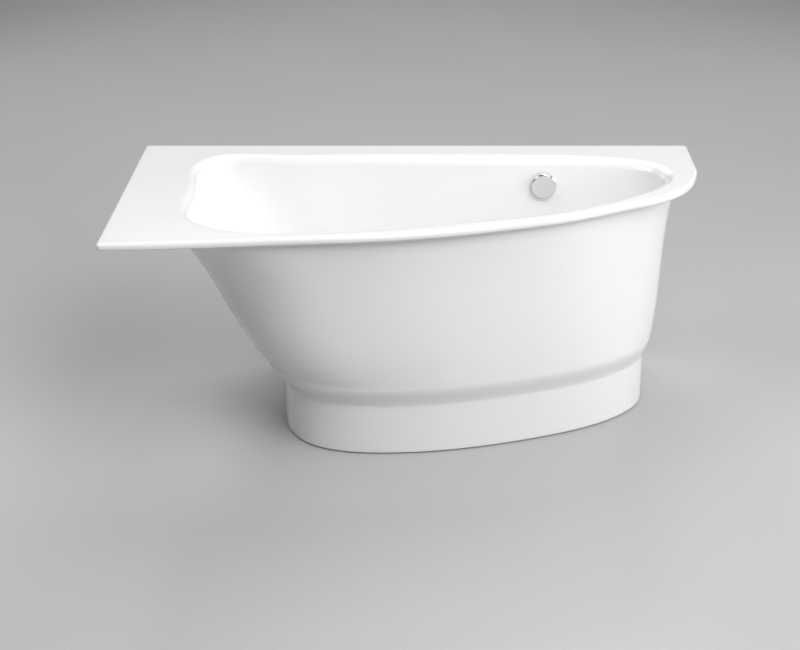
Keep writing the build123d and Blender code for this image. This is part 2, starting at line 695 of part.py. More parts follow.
def overflow_knob():
    """The round control knob: a crowned cap, hollow behind, with a hub for the spindle."""
    front = -KNOB_GAP - KNOB_DEPTH
    rim = front + KNOB_CROWN
    crown = crown_arc(KNOB_RADIUS, rim, -KNOB_CROWN)
    back = -KNOB_GAP
    rest = Polyline((0, 0, front), (0, 0, back), (KNOB_RADIUS, 0, back), (KNOB_RADIUS, 0, rim))
    profile = make_face(crown + rest).face()
    corner = profile.vertices().sort_by(lambda vertex: vertex.X - vertex.Z)[-1]
    cap = revolve(profile.fillet_2d(KNOB_ROUND, [corner]), Axis.Z)
    hollow = tube(KNOB_RADIUS - KNOB_WALL, KNOB_HUB_RADIUS, KNOB_DEPTH)
    cap -= Pos(0, 0, rim + KNOB_WALL) * hollow
    cap -= Pos(0, 0, rim + KNOB_WALL) * disc(SPINDLE_RADIUS + SLIP, KNOB_DEPTH)
    return on_wall(0, 0, 0) * cap


def knob_spindle():
    """The spindle from the knob's hub to the bearing at the back of the housing."""
    start = -KNOB_GAP - KNOB_DEPTH + KNOB_CROWN + KNOB_WALL + SEAT_GAP
    end = HOUSING_END - HOUSING_WALL
    return on_wall(0, 0, start) * disc(SPINDLE_RADIUS, end - start)


def wire_drum():
    """The small drum on the spindle that draws the cable's wire."""
    cheek = tube(DRUM_CHEEK_RADIUS, SPINDLE_RADIUS + SLIP, (DRUM_WIDTH - DRUM_GROOVE) / 2)
    core = tube(DRUM_RADIUS - WIRE_RADIUS, SPINDLE_RADIUS + SLIP, DRUM_WIDTH)
    drum = core + cheek + Pos(0, 0, (DRUM_WIDTH + DRUM_GROOVE) / 2) * cheek
    return on_wall(0, 0, DRUM_DEPTH - DRUM_WIDTH / 2) * drum


def overflow_plate():
    """The plate on the inner face of the wall, with water slots and the spindle's front bearing."""
    plate = Pos(0, 0, SPOT_DEPTH - PLATE_THICKNESS) * disc(PLATE_RADIUS, PLATE_THICKNESS)
    plate += Pos(0, 0, SPOT_DEPTH) * disc(BEARING_RADIUS, BEARING_LENGTH)
    slot = Pos(0, 0, SPOT_DEPTH - PLATE_THICKNESS) * disc(PLATE_SLOT_RADIUS, PLATE_THICKNESS)
    for turn in range(PLATE_SLOT_COUNT):
        place = Rot(0, 0, (turn + 1 / 2) * 360 / PLATE_SLOT_COUNT) * Pos(PLATE_SLOT_PITCH_RADIUS, 0)
        plate -= place * slot
    hole = Pos(0, 0, SPOT_DEPTH - PLATE_THICKNESS) * disc(SCREW_RADIUS + SLIP, PLATE_THICKNESS)
    for side in (-SCREW_PLACE, SCREW_PLACE):
        plate -= Pos(side, 0) * hole
    bearing = disc(SPINDLE_RADIUS + SLIP, PLATE_THICKNESS + BEARING_LENGTH)
    plate -= Pos(0, 0, SPOT_DEPTH - PLATE_THICKNESS) * bearing
    return on_wall(0, 0, 0) * plate


def overflow_screws():
    """The two screws that draw the housing against the wall."""
    head = disc(SCREW_HEAD_RADIUS, SCREW_HEAD_HEIGHT)
    screw = Pos(0, 0, -SCREW_HEAD_HEIGHT) * head + disc(SCREW_RADIUS, SCREW_LENGTH)
    start = SPOT_DEPTH - PLATE_THICKNESS
    return [on_wall(side, 0, start) * screw for side in (-SCREW_PLACE, SCREW_PLACE)]


def overflow_seal():
    """The rubber ring between the wall and the housing's flange."""
    bore = HOUSING_RADIUS - HOUSING_WALL
    return on_wall(0, 0, WALL_PAD_DEPTH) * tube(HOUSING_FLANGE_RADIUS, bore, WALL_SEAL_THICKNESS)


def overflow_housing():
    """The housing behind the wall: flange, cup, screw lugs, rear bearing, hose spigot, cable boss."""
    bore = HOUSING_RADIUS - HOUSING_WALL
    flange = disc(HOUSING_FLANGE_RADIUS, HOUSING_FLANGE_THICKNESS)
    housing = Pos(0, 0, HOUSING_START) * (flange + disc(HOUSING_RADIUS, HOUSING_DEPTH))
    housing += Pos(0, 0, HOSE_DEPTH) * lying(disc(HOSE_BORE_RADIUS, SPIGOT_END))
    housing += Pos(0, COLLAR_START, HOSE_DEPTH) * lying(disc(COLLAR_RADIUS, COLLAR_THICKNESS))
    boss_end = HOUSING_RADIUS + GLAND_BOSS_LENGTH
    housing += Pos(0, -DRUM_RADIUS, DRUM_DEPTH) * Rot(0, 90, 0) * disc(GLAND_BOSS_RADIUS, boss_end)
    housing -= Pos(0, 0, HOUSING_START) * disc(bore, HOUSING_DEPTH - HOUSING_WALL)
    housing -= Pos(0, 0, HOSE_DEPTH) * lying(disc(HOSE_BORE_RADIUS - TUBE_WALL, SPIGOT_END))
    half = LUG_WIDTH / 2
    low = HOUSING_START + LUG_START
    for side in (-1, 1):
        lug = block((SCREW_PLACE - half, bore + HOUSING_WALL / 2), (-half, half), (low, low + LUG_DEPTH))
        lug -= Pos(SCREW_PLACE, 0, low) * disc(SCREW_RADIUS + SLIP, LUG_DEPTH)
        housing += Rot(0, 0, 0 if side > 0 else 180) * lug
    bearing = tube(BEARING_RADIUS, SPINDLE_RADIUS + SLIP, BEARING_LENGTH)
    housing += Pos(0, 0, HOUSING_END - HOUSING_WALL - BEARING_LENGTH) * bearing
    wire_hole = Rot(0, 90, 0) * disc(WIRE_HOLE_RADIUS, boss_end)
    housing -= Pos(0, -DRUM_RADIUS, DRUM_DEPTH) * wire_hole
    return on_wall(0, 0, 0) * housing


# Overflow hose

def hose_point(along):
    """A point of the hose's axis, so far down the wall from the overflow's centre."""
    return OVERFLOW.from_local_coords(Vector(0, along, HOSE_DEPTH))


HOSE_TOP = COLLAR_START + COLLAR_THICKNESS
HOSE_LENGTH = (hose_point(HOSE_TOP).Z - INLET_LEVEL - HOSE_END_LIFT) / OVERFLOW.z_dir.Y
RIB_COUNT = round((HOSE_LENGTH - 2 * CUFF_LENGTH) / RIB_PITCH)


def overflow_hose():
    """The corrugated hose down the back of the bowl: plain cuffs, ribs between them, one bore."""
    pitch = (HOSE_LENGTH - 2 * CUFF_LENGTH) / RIB_COUNT
    radii = (RIB_ROOT_RADIUS, RIB_RADIUS, RIB_RADIUS, RIB_ROOT_RADIUS)
    wires = []
    for rib in range(RIB_COUNT):
        for step, radius in enumerate(radii):
            level = CUFF_LENGTH + pitch * (rib + (step + 1 / 2) / len(radii))
            frame = Plane(origin=(0, 0, level), x_dir=(1, 0, 0), z_dir=(0, 0, 1))
            wires.append(Wire([Edge.make_circle(radius, frame)]))
    ribs = Solid.make_loft(wires, ruled=True)
    margin = pitch / 8
    cuff = disc(CUFF_RADIUS, CUFF_LENGTH + margin)
    hose = ribs + cuff + Pos(0, 0, HOSE_LENGTH - CUFF_LENGTH - margin) * cuff
    hose -= disc(HOSE_BORE_RADIUS + SLIP, HOSE_LENGTH)
    return down_wall(0, HOSE_TOP, HOSE_DEPTH) * hose


def hose_nuts():
    """The two union nuts over the hose's cuffs."""
    nut = tube(NUT_RADIUS, CUFF_RADIUS + SLIP, NUT_LENGTH)
    low = HOSE_TOP + HOSE_LENGTH - NUT_LENGTH
    return [down_wall(0, along, HOSE_DEPTH) * nut for along in (HOSE_TOP, low)]


def inlet_path():
    """The elbow's centre line, from the waste body's socket up into the hose."""
    top = hose_point(HOSE_TOP + HOSE_LENGTH - CUFF_LENGTH)
    end = hose_point(HOSE_TOP + HOSE_LENGTH)
    along = end - top
    corner = end + along * ((INLET_LEVEL - end.Z) / along.Z)
    start = Vector(WASTE_X, WASTE_Y + BODY_RADIUS + SEAT_GAP, INLET_LEVEL)
    return FilletPolyline(start, corner, top, radius=ELBOW_RADIUS)


def inlet_elbow():
    """The elbow from the hose's lower end into the waste body, with a collar under the hose."""
    path = inlet_path()
    plane = Plane(origin=path @ 0, z_dir=path % 0)
    elbow = sweep(plane * Circle(HOSE_BORE_RADIUS), path=path)
    end = HOSE_TOP + HOSE_LENGTH
    elbow += down_wall(0, end, HOSE_DEPTH) * disc(COLLAR_RADIUS, COLLAR_THICKNESS)
    return elbow - sweep(plane * Circle(HOSE_BORE_RADIUS - TUBE_WALL), path=path)


# Drive cable

def bowl_level(share):
    """The height at a share of the bowl's depth over its floor."""
    return FLOOR_TOP + (HEIGHT - FLOOR_TOP) * share


def cable_route():
    """Corner points of the cable, with the radius of each bend."""
    upper = OVERFLOW.from_local_coords(
        Vector(HOUSING_RADIUS + GLAND_BOSS_LENGTH, -DRUM_RADIUS, DRUM_DEPTH)
    )
    side = WASTE_X + CABLE_SIDE
    out = Vector(side, upper.Y, upper.Z)
    high_level = bowl_level(CABLE_TOP_LEVEL_SHARE)
    low_level = bowl_level(CABLE_FOLLOW_LEVEL_SHARE)
    high = Vector(side, back_face(BOWL_OUTSIDE, side, high_level) + CABLE_WALL_GAP, high_level)
    low = Vector(side, back_face(BOWL_OUTSIDE, side, low_level) + CABLE_WALL_GAP, low_level)
    fall = (low - high) * ((WIRE_LEVEL - low.Z) / (low.Z - high.Z))
    turn = low + fall
    front = Vector(side, WASTE_Y, WIRE_LEVEL)
    lower = Vector(WASTE_X + CHAMBER_LENGTH + GLAND_BOSS_LENGTH, WASTE_Y, WIRE_LEVEL)
    points = [upper, out, high, turn, front, lower]
    last_radius = CABLE_BEND_RADIUS - CABLE_RADIUS
    return points, [CABLE_BEND_RADIUS, CABLE_EASY_RADIUS, CABLE_BEND_RADIUS, last_radius]


def drive_cable():
    """The cable's sleeve, one unbroken run between its two glands."""
    points, radii = cable_route()
    path = FilletPolyline(*points, radius=radii)
    plane = Plane(origin=path @ 0, z_dir=path % 0)
    cable = sweep(plane * Circle(CABLE_RADIUS), path=path)
    expected = math.pi * CABLE_RADIUS ** 2 * path.length
    print("cable bend radii", radii, "length", round(path.length, 1))
    print("cable volume over section times length", round(cable.volume / expected, 4))
    return cable


def cable_glands():
    """The two gland nuts that hold the sleeve's ends."""
    points, _ = cable_route()
    gland = tube(GLAND_RADIUS, CABLE_RADIUS + SLIP, GLAND_LENGTH)
    return [Pos(*points[index]) * Rot(0, 90, 0) * gland for index in (0, -1)]


def cable_clips():
    """The clips that hold the sleeve off the bowl's back wall."""
    points, _ = cable_route()
    high, turn = points[2], points[3]
    along = (turn - high).normalized()
    half = CLIP_WIDTH / 2
    reach = CLIP_FOOT_LENGTH / 2
    clips = []
    for share in CLIP_LEVEL_SHARES:
        level = bowl_level(share)
        heights = (level - half, level + half)
        centre = high + (turn - high) * ((level - high.Z) / (turn.Z - high.Z))
        sides = (centre.X - reach, centre.X + reach)
        wall = max(back_face(BOWL_OUTSIDE, side, heights[1]) for side in sides) + SEAT_GAP
        ring = Pos(centre.X, centre.Y, heights[0]) * disc(CABLE_RADIUS + CLIP_WALL, CLIP_WIDTH)
        leg = block((centre.X - CLIP_WALL, centre.X + CLIP_WALL), (wall, centre.Y), heights)
        foot = block(sides, (wall, wall + CLIP_FOOT_THICKNESS), heights)
        hole = Plane(origin=centre - along * CLIP_WIDTH, x_dir=(1, 0, 0), z_dir=along)
        bore = hole.location * disc(CABLE_RADIUS + SLIP, CLIP_WIDTH * 2)
        clips.append(ring + leg + foot - bore)
    return clips


# Trap and outlet

def trap_body():
    """The trap's upper part: neck, lid, dip tube, outer wall and outlet socket."""
    neck_radius = SPIGOT_RADIUS + TRAP_NECK_WALL
    lid = Pos(0, 0, TRAP_TOP - TRAP_WALL) * disc(TRAP_RADIUS, TRAP_WALL)
    wall = Pos(0, 0, TRAP_BOTTOM) * tube(TRAP_RADIUS, TRAP_RADIUS - TRAP_WALL, TRAP_HEIGHT)
    neck = Pos(0, 0, TRAP_TOP) * disc(neck_radius, TRAP_NECK_LENGTH)
    dip = Pos(0, 0, TRAP_TOP - DIP_LENGTH) * disc(SPIGOT_RADIUS - DIP_WALL, DIP_LENGTH)
    socket_end = TRAP_RADIUS + OUTLET_SOCKET_LENGTH
    start = TRAP_RADIUS - TRAP_WALL
    socket_shape = Pos(0, start, OUTLET_LEVEL) * lying(
        disc(OUTLET_RADIUS + OUTLET_SOCKET_WALL, socket_end - start)
    )
    body = lid + wall + neck + dip + socket_shape
    body -= Pos(0, 0, TRAP_TOP) * disc(SPIGOT_RADIUS + SLIP, TRAP_NECK_LENGTH)
    body -= Pos(0, 0, TRAP_TOP - DIP_LENGTH) * disc(SPIGOT_RADIUS - 2 * DIP_WALL, DIP_LENGTH)
    body -= Pos(0, TRAP_RADIUS, OUTLET_LEVEL) * lying(disc(OUTLET_RADIUS + SLIP, OUTLET_SOCKET_LENGTH))
    body -= Pos(0, start - OVERRUN, OUTLET_LEVEL) * lying(disc(OUTLET_RADIUS - OUTLET_WALL, OVERRUN * 2))
    return Pos(WASTE_X, WASTE_Y) * body


def trap_cup():
    """The cup that screws into the trap from below, with a ribbed grip."""
    radius = TRAP_RADIUS - TRAP_WALL - SLIP
    cup = Pos(0, 0, CUP_BOTTOM) * disc(radius, CUP_HEIGHT)
    cup += Pos(0, 0, CUP_BOTTOM) * disc(CUP_GRIP_RADIUS - CUP_RIB_RADIUS, CUP_GRIP_HEIGHT)
    rib = Pos(CUP_GRIP_RADIUS - CUP_RIB_RADIUS, 0, CUP_BOTTOM) * disc(CUP_RIB_RADIUS, CUP_GRIP_HEIGHT)
    for turn in range(CUP_RIB_COUNT):
        cup += Rot(0, 0, turn * 360 / CUP_RIB_COUNT) * rib
    cup -= Pos(0, 0, CUP_BOTTOM + CUP_WALL) * disc(radius - CUP_WALL, CUP_HEIGHT)
    return Pos(WASTE_X, WASTE_Y) * cup


def trap_nut():
    """The union nut that closes the trap's neck round the waste body's spigot."""
    neck_radius = SPIGOT_RADIUS + TRAP_NECK_WALL
    neck_top = TRAP_TOP + TRAP_NECK_LENGTH
    nut = hexagon(TRAP_NUT_RADIUS * 2, TRAP_NUT_HEIGHT) - disc(SPIGOT_RADIUS + SLIP, TRAP_NUT_HEIGHT)
    nut -= disc(neck_radius + SLIP, TRAP_NUT_HEIGHT - TRAP_NUT_LIP)
    return Pos(WASTE_X, WASTE_Y, neck_top + TRAP_NUT_LIP - TRAP_NUT_HEIGHT) * nut


def outlet_nut():
    """The nut that seals the outlet pipe in the trap's socket."""
    socket = OUTLET_RADIUS + OUTLET_SOCKET_WALL
    nut = disc(OUTLET_NUT_RADIUS, OUTLET_NUT_LENGTH) - disc(OUTLET_RADIUS + SLIP, OUTLET_NUT_LENGTH)
    nut -= disc(socket + SLIP, OUTLET_NUT_LENGTH - OUTLET_NUT_LIP)
    along = WASTE_Y + TRAP_RADIUS + OUTLET_SOCKET_LENGTH + OUTLET_NUT_LIP - OUTLET_NUT_LENGTH
    return Pos(WASTE_X, along, OUTLET_LEVEL) * lying(nut)


def outlet_pipe():
    """The pipe to the wall behind, with a bell end that takes the waste pipe of the room."""
    start = WASTE_Y + TRAP_RADIUS + SEAT_GAP
    end = WIDTH / 2 - OUTLET_END_GAP - start
    bell_start = end - OUTLET_BELL_LENGTH
    bell_bore = OUTLET_RADIUS + SLIP
    bell_radius = bell_bore + OUTLET_BELL_WALL
    cone_start = bell_start - OUTLET_BELL_WALL * 2
    bore = OUTLET_RADIUS - OUTLET_WALL
    pipe = turned([
        (bore, 0), (OUTLET_RADIUS, 0), (OUTLET_RADIUS, cone_start), (bell_radius, bell_start),
        (bell_radius, end), (bell_bore, end), (bell_bore, bell_start), (bore, bell_start),
    ])
    return Pos(WASTE_X, start, OUTLET_LEVEL) * lying(pipe)


def build_nodes():
    """Every piece of the bath under its node's name."""
    nodes = {
        "basin_shell": basin_shell(),
        "outer_skirt": outer_skirt(),
        "skirt_bond": skirt_bond(),
        "foot_inserts": foot_inserts(),
        "foot_locknuts": foot_locknuts(),
        "overflow_knob": overflow_knob(),
        "knob_spindle": knob_spindle(),
        "wire_drum": wire_drum(),
        "overflow_plate": overflow_plate(),
        "overflow_screws": overflow_screws(),
        "overflow_seal": overflow_seal(),
        "overflow_housing": overflow_housing(),
        "overflow_hose": overflow_hose(),
        "hose_nuts": hose_nuts(),
        "inlet_elbow": inlet_elbow(),
        "drive_cable": drive_cable(),
        "cable_glands": cable_glands(),
        "cable_clips": cable_clips(),
        "waste_flange": waste_flange(),
        "flange_seal": flange_seal(),
        "waste_seal": waste_seal(),
        "waste_body": waste_body(),
        "lifter_lever": lifter_lever(),
        "lever_pin": lever_pin(),
        "waste_plug": waste_plug(),
        "plug_seal": plug_seal(),
        "trap_body": trap_body(),
        "trap_cup": trap_cup(),
        "trap_nut": trap_nut(),
        "outlet_nut": outlet_nut(),
        "outlet_pipe": outlet_pipe(),
    }
    for number, place in enumerate(foot_places(), start=1):
        nodes[f"foot_stud_{number}"] = foot_stud(place)
        nodes[f"foot_pad_{number}"] = foot_pad(place)
    return nodes


for name, shape in build_nodes().items():
    pieces = shape if isinstance(shape, list) else [shape]
    solids = [solid for piece in pieces for solid in piece.solids()]
    export_step(solids[0] if len(solids) == 1 else Compound(solids), f"parts/{name}.step")
    print(name, len(solids), round(sum(solid.volume for solid in solids)))
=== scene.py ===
"""Studio scene of an asymmetric cast stone bath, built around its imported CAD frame.

All lengths are in metres, in the frame of the CAD model: +X to the foot end of the bath, +Y to the wall
behind it, +Z up, with the floor at z = 0.
"""

from __future__ import annotations

import json
import logging
import math
from dataclasses import dataclass, field
from enum import Enum

import bmesh
import bpy
import numpy as np
from mathutils import Matrix, Vector


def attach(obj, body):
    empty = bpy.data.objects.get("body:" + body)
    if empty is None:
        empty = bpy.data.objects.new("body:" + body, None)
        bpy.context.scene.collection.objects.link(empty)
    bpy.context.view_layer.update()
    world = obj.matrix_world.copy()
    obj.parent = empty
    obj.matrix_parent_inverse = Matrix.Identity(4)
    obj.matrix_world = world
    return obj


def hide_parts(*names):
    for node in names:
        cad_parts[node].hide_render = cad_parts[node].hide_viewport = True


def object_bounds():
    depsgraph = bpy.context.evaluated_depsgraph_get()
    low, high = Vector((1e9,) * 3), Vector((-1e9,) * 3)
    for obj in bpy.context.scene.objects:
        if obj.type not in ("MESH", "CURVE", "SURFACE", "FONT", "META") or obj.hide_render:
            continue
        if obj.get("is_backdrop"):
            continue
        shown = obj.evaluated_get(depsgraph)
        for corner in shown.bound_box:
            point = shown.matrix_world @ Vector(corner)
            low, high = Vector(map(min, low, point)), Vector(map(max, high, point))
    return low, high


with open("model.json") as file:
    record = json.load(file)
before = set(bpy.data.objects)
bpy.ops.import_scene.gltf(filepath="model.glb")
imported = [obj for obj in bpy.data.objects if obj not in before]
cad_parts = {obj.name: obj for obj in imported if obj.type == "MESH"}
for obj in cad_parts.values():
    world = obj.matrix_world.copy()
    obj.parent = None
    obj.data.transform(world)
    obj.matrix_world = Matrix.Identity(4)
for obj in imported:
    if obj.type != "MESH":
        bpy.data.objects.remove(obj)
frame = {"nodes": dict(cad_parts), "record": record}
CAD_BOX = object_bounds()

LOG = logging.getLogger("bath")
SHARP_ANGLE = math.radians(32.0)
DOUBLED = 1e-6
TINY_EDGE = 1e-7
TINY_AREA = 1e-14
DISC_FACES = 64
EDGE_BREAK = 0.0006
OVERFLOW_PLACE = (0.348, 0.252015, 0.566)
OVERFLOW_LEAN = 0.1038

Pair = tuple[float, float]
Place = tuple[float, float, float]
Color = tuple[float, float, float]
Shares = tuple[Pair, ...]
Ends = tuple[np.ndarray, np.ndarray] | None


class Body(Enum):
    """The bodies of the CAD model that pieces ride on."""

    BATH = "bath"
    KNOB = "overflow_knob"


class Grain(Enum):
    """The small-scale surface of a finish."""

    GELCOAT = "gelcoat"
    POLISHED = "polished"
    BRUSHED = "brushed"
    MOULDED = "moulded"


# Curves


def spline_slopes(points: np.ndarray, closed: bool, ends: Ends = None) -> np.ndarray:
    """Slopes of a smooth cubic curve at its points, measured along the chords.

    Args:
        points: One point per row.
        closed: Whether the curve runs back to its first point.
        ends: Unit directions at the first and last point of an open curve.

    Returns:
        One slope per point.
    """
    count = len(points)
    steps = np.diff(np.vstack([points, points[:1]]) if closed else points, axis=0)
    lengths = np.linalg.norm(steps, axis=1)
    chords = steps / lengths[:, None]
    matrix = np.zeros((count, count))
    right = np.zeros_like(points)
    for i in range(count):
        if not closed and i in (0, count - 1):
            matrix[i, i] = 1.0
            right[i] = ends[0] if i == 0 else ends[1]
            continue
        before, after = lengths[i - 1], lengths[i]
        matrix[i, i - 1] += after
        matrix[i, i] += 2 * (before + after)
        matrix[i, (i + 1) % count] += before
        right[i] = 3 * (after * chords[i - 1] + before * chords[i])
    return np.linalg.solve(matrix, right)


def smooth_curve(points: np.ndarray, per: int, closed: bool = True, ends: Ends = None) -> np.ndarray:
    """Points along a smooth curve through given points.

    Args:
        points: The points that the curve runs through.
        per: How many samples each span gets.
        closed: Whether the curve is a ring.
        ends: Unit directions at the ends of an open curve.

    Returns:
        The samples, without a repeated first point on a ring.
    """
    slopes = spline_slopes(points, closed, ends)
    spans = len(points) if closed else len(points) - 1
    fraction = (np.arange(per) / per)[:, None]
    square, cube = fraction**2, fraction**3
    samples = []
    for i in range(spans):
        k = (i + 1) % len(points)
        length = np.linalg.norm(points[k] - points[i])
        samples.append(
            (2 * cube - 3 * square + 1) * points[i]
            + (cube - 2 * square + fraction) * length * slopes[i]
            + (3 * square - 2 * cube) * points[k]
            + (cube - square) * length * slopes[k]
        )
    if not closed:
        samples.append(points[-1:])
    return np.vstack(samples)


def outward_normals(points: np.ndarray, closed: bool) -> np.ndarray:
    """Unit normals of a line that runs round the bath against the clock.

    Args:
        points: The line, flat, one point per row.
        closed: Whether the line is a ring.

    Returns:
        One outward normal per point.
    """
    if closed:
        along = np.roll(points, -1, axis=0) - np.roll(points, 1, axis=0)
    else:
        along = np.gradient(points, axis=0)
    along = along / np.linalg.norm(along, axis=1)[:, None]
    return np.stack([along[:, 1], -along[:, 0]], axis=1)


def evenly(points: np.ndarray, count: int) -> np.ndarray:
    """A line of points laid out again at even steps along its length.

    Args:
        points: The line, one point per row.
        count: How many points the new line gets.

    Returns:
        The new line, with the same ends.
    """
    run = np.concatenate([[0.0], np.cumsum(np.linalg.norm(np.diff(points, axis=0), axis=1))])
    marks = np.linspace(0.0, run[-1], count)
    return np.stack([np.interp(marks, run, points[:, axis]) for axis in range(points.shape[1])], axis=1)


def lifted(points: np.ndarray, level: float | np.ndarray) -> np.ndarray:
    """Flat points set at one height, or each at its own."""
    return np.column_stack([points, np.full(len(points), level) if np.isscalar(level) else level])


# Meshes


def linked(name: str, data: bpy.types.ID) -> bpy.types.Object:
    """Makes an object of its data and adds it to the scene.

    Args:
        name: The object's name.
        data: Its mesh, curve, lamp or camera.

    Returns:
        The object.
    """
    thing = bpy.data.objects.new(name, data)
    bpy.context.scene.collection.objects.link(thing)
    return thing


@dataclass
class Skin:
    """A mesh that grows ring by ring."""

    points: list[np.ndarray] = field(default_factory=list)
    faces: list[tuple[int, ...]] = field(default_factory=list)
    count: int = 0

    def ring(self, points: np.ndarray) -> np.ndarray:
        """Adds a line of points.

        Args:
            points: The line, one point per row.

        Returns:
            The numbers of its points.
        """
        self.points.append(np.asarray(points, float))
        numbers = np.arange(self.count, self.count + len(points))
        self.count += len(points)
        return numbers

    def join(self, first: np.ndarray, second: np.ndarray, closed: bool = True) -> None:
        """Lays a band of four-sided faces between two lines of the same length.

        Args:
            first: The numbers of the first line's points.
            second: The numbers of the second line's points.
            closed: Whether the lines are rings.
        """
        last = len(first) if closed else len(first) - 1
        for i in range(last):
            k = (i + 1) % len(first)
            self.faces.append((first[i], first[k], second[k], second[i]))

    def stack(self, rings: list[np.ndarray], closed: bool = True) -> list[np.ndarray]:
        """Adds lines of points in order, with a band between each and the next.

        Args:
            rings: The lines, all of one length.
            closed: Whether each line is a ring.

        Returns:
            The numbers of each line's points.
        """
        numbers = [self.ring(ring) for ring in rings]
        for low, high in zip(numbers, numbers[1:]):
            self.join(low, high, closed)
        return numbers

    def cap(self, ring: np.ndarray) -> None:
        """Closes a ring with one flat face."""
        self.faces.append(tuple(ring))

    def build(self, name: str) -> bpy.types.Object:
        """Makes the mesh object, with its faces turned outwards and its shading smooth between edges.

        Args:
            name: The object's name.

        Returns:
            The mesh object.
        """
        mesh = bpy.data.meshes.new(name)
        faces = [tuple(int(number) for number in face) for face in self.faces]
        mesh.from_pydata(np.vstack(self.points).tolist(), [], faces)
        tidy_mesh(mesh)
        return linked(name, mesh)


def write_back(work: bmesh.types.BMesh, mesh: bpy.types.Mesh) -> None:
    """Ends the work on a mesh: faces turned outwards, shading smooth between sharp edges.

    Args:
        work: The worked copy, which is freed.
        mesh: The mesh that takes it.
    """
    bmesh.ops.recalc_face_normals(work, faces=work.faces)
    work.to_mesh(mesh)
    work.free()
    mesh.shade_smooth()
    mesh.set_sharp_from_angle(angle=SHARP_ANGLE)


def tidy_mesh(mesh: bpy.types.Mesh) -> None:
    """Joins the doubled points of a mesh and sets its shading."""
    work = bmesh.new()
    work.from_mesh(mesh)
    bmesh.ops.remove_doubles(work, verts=work.verts, dist=DOUBLED)
    write_back(work, mesh)


def drop_slivers(mesh: bpy.types.Mesh) -> None:
    """Removes faces and edges without size, such as those at the tips of a turned piece."""
    work = bmesh.new()
    work.from_mesh(mesh)
    bmesh.ops.dissolve_degenerate(work, edges=work.edges, dist=TINY_EDGE)
    thin = [face for face in work.faces if face.calc_area() < TINY_AREA]
    bmesh.ops.delete(work, geom=thin, context="FACES")
    loose = [edge for edge in work.edges if not edge.link_faces]
    bmesh.ops.delete(work, geom=loose, context="EDGES")
    write_back(work, mesh)


def combined(thing: bpy.types.Object, tools: list[bpy.types.Object], operation: str) -> bpy.types.Object:
    """Joins tools to a piece or cuts them out of it, and removes the tools.

    Args:
        thing: The piece that is changed.
        tools: The closed meshes that are joined or cut.
        operation: UNION or DIFFERENCE.

    Returns:
        The changed piece.
    """
    group = bpy.data.collections.new("tools")
    for tool in tools:
        group.objects.link(tool)
    step = thing.modifiers.new("step", "BOOLEAN")
    step.operation = operation
    step.solver = "EXACT"
    step.operand_type = "COLLECTION"
    step.collection = group
    view = bpy.context.evaluated_depsgraph_get()
    mesh = bpy.data.meshes.new_from_object(thing.evaluated_get(view))
    thing.modifiers.clear()
    thing.data = mesh
    for tool in tools:
        bpy.data.objects.remove(tool)
    bpy.data.collections.remove(group)
    tidy_mesh(mesh)
    return thing


def lathe(name: str, profile: list, segments: int, place: Matrix) -> bpy.types.Object:
    """A piece turned about its own Z axis.

    Args:
        name: The piece's name.
        profile: Radius and height of each corner, round a closed outline. Points on the axis become tips.
        segments: Faces round the axis.
        place: Where the piece's own frame lies.

    Returns:
        The mesh object.
    """
    turn = np.linspace(0.0, 2 * math.pi, segments, endpoint=False)
    skin = Skin()
    rings = []
    for radius, height in profile:
        ring = np.column_stack([radius * np.cos(turn), radius * np.sin(turn), np.full(segments, height)])
        rings.append(skin.ring(ring))
    for low, high in zip(rings, rings[1:] + rings[:1]):
        skin.join(low, high)
    thing = skin.build(name)
    drop_slivers(thing.data)
    thing.data.transform(place)
    return thing


def turned_disc(
    name: str, radius: float, start: float, end: float, place: Matrix, soft: float = 0.0
) -> bpy.types.Object:
    """A plain disc between two heights of its own Z axis, with one edge rounded.

    Args:
        name: The disc's name.
        radius: Its radius.
        start: The height of its plain face.
        end: The height of its other face.
        place: Where its own frame lies.
        soft: The rounding of the edge of the other face.

    Returns:
        The mesh object.
    """
    way = 1.0 if end > start else -1.0
    profile = [(0.0, start), (radius, start)]
    for angle in np.radians(np.linspace(0.0, 90.0, 5 if soft else 1)):
        x = radius - soft * (1 - math.cos(angle))
        profile.append((x, end - way * soft * (1 - math.sin(angle))))
    profile.append((0.0, end))
    return lathe(name, profile, DISC_FACES, place)


# Shared shader effects


def new_group(name: str, inputs: dict[str, float | Color], outputs: dict[str, str]) -> bpy.types.NodeTree:
    """An empty shader node group with named sockets.

    Args:
        name: The group's name.
        inputs: Each input with its usual value, a number or a colour.
        outputs: Each output with its socket type.

    Returns:
        The node group.
    """
    group = bpy.data.node_groups.new(name, "ShaderNodeTree")
    for label, value in inputs.items():
        kind = "NodeSocketFloat" if isinstance(value, float) else "NodeSocketColor"
        socket = group.interface.new_socket(name=label, in_out="INPUT", socket_type=kind)
        socket.default_value = value if isinstance(value, float) else (*value, 1.0)
    for label, kind in outputs.items():
        group.interface.new_socket(name=label, in_out="OUTPUT", socket_type=kind)
    group.nodes.new("NodeGroupInput").name = "in"
    group.nodes.new("NodeGroupOutput").name = "out"
    return group


def fill(node: bpy.types.Node, values: dict[str, float | tuple[float, ...]]) -> None:
    """Sets the values of a node's inputs."""
    for label, value in values.items():
        node.inputs[label].default_value = value


def noise(
    tree: bpy.types.NodeTree, vector: bpy.types.NodeSocket, detail: float, rough: float
) -> bpy.types.Node:
    """A noise texture, with its scale socket left free.

    Args:
        tree: The node tree that it is added to.
        vector: The place that it reads.
        detail: How many finer layers it has.
        rough: How strong the finer layers are.

    Returns:
        The texture node.
    """
    node = tree.nodes.new("ShaderNodeTexNoise")
    fill(node, {"Detail": detail, "Roughness": rough})
    tree.links.new(vector, node.inputs["Vector"])
    return node


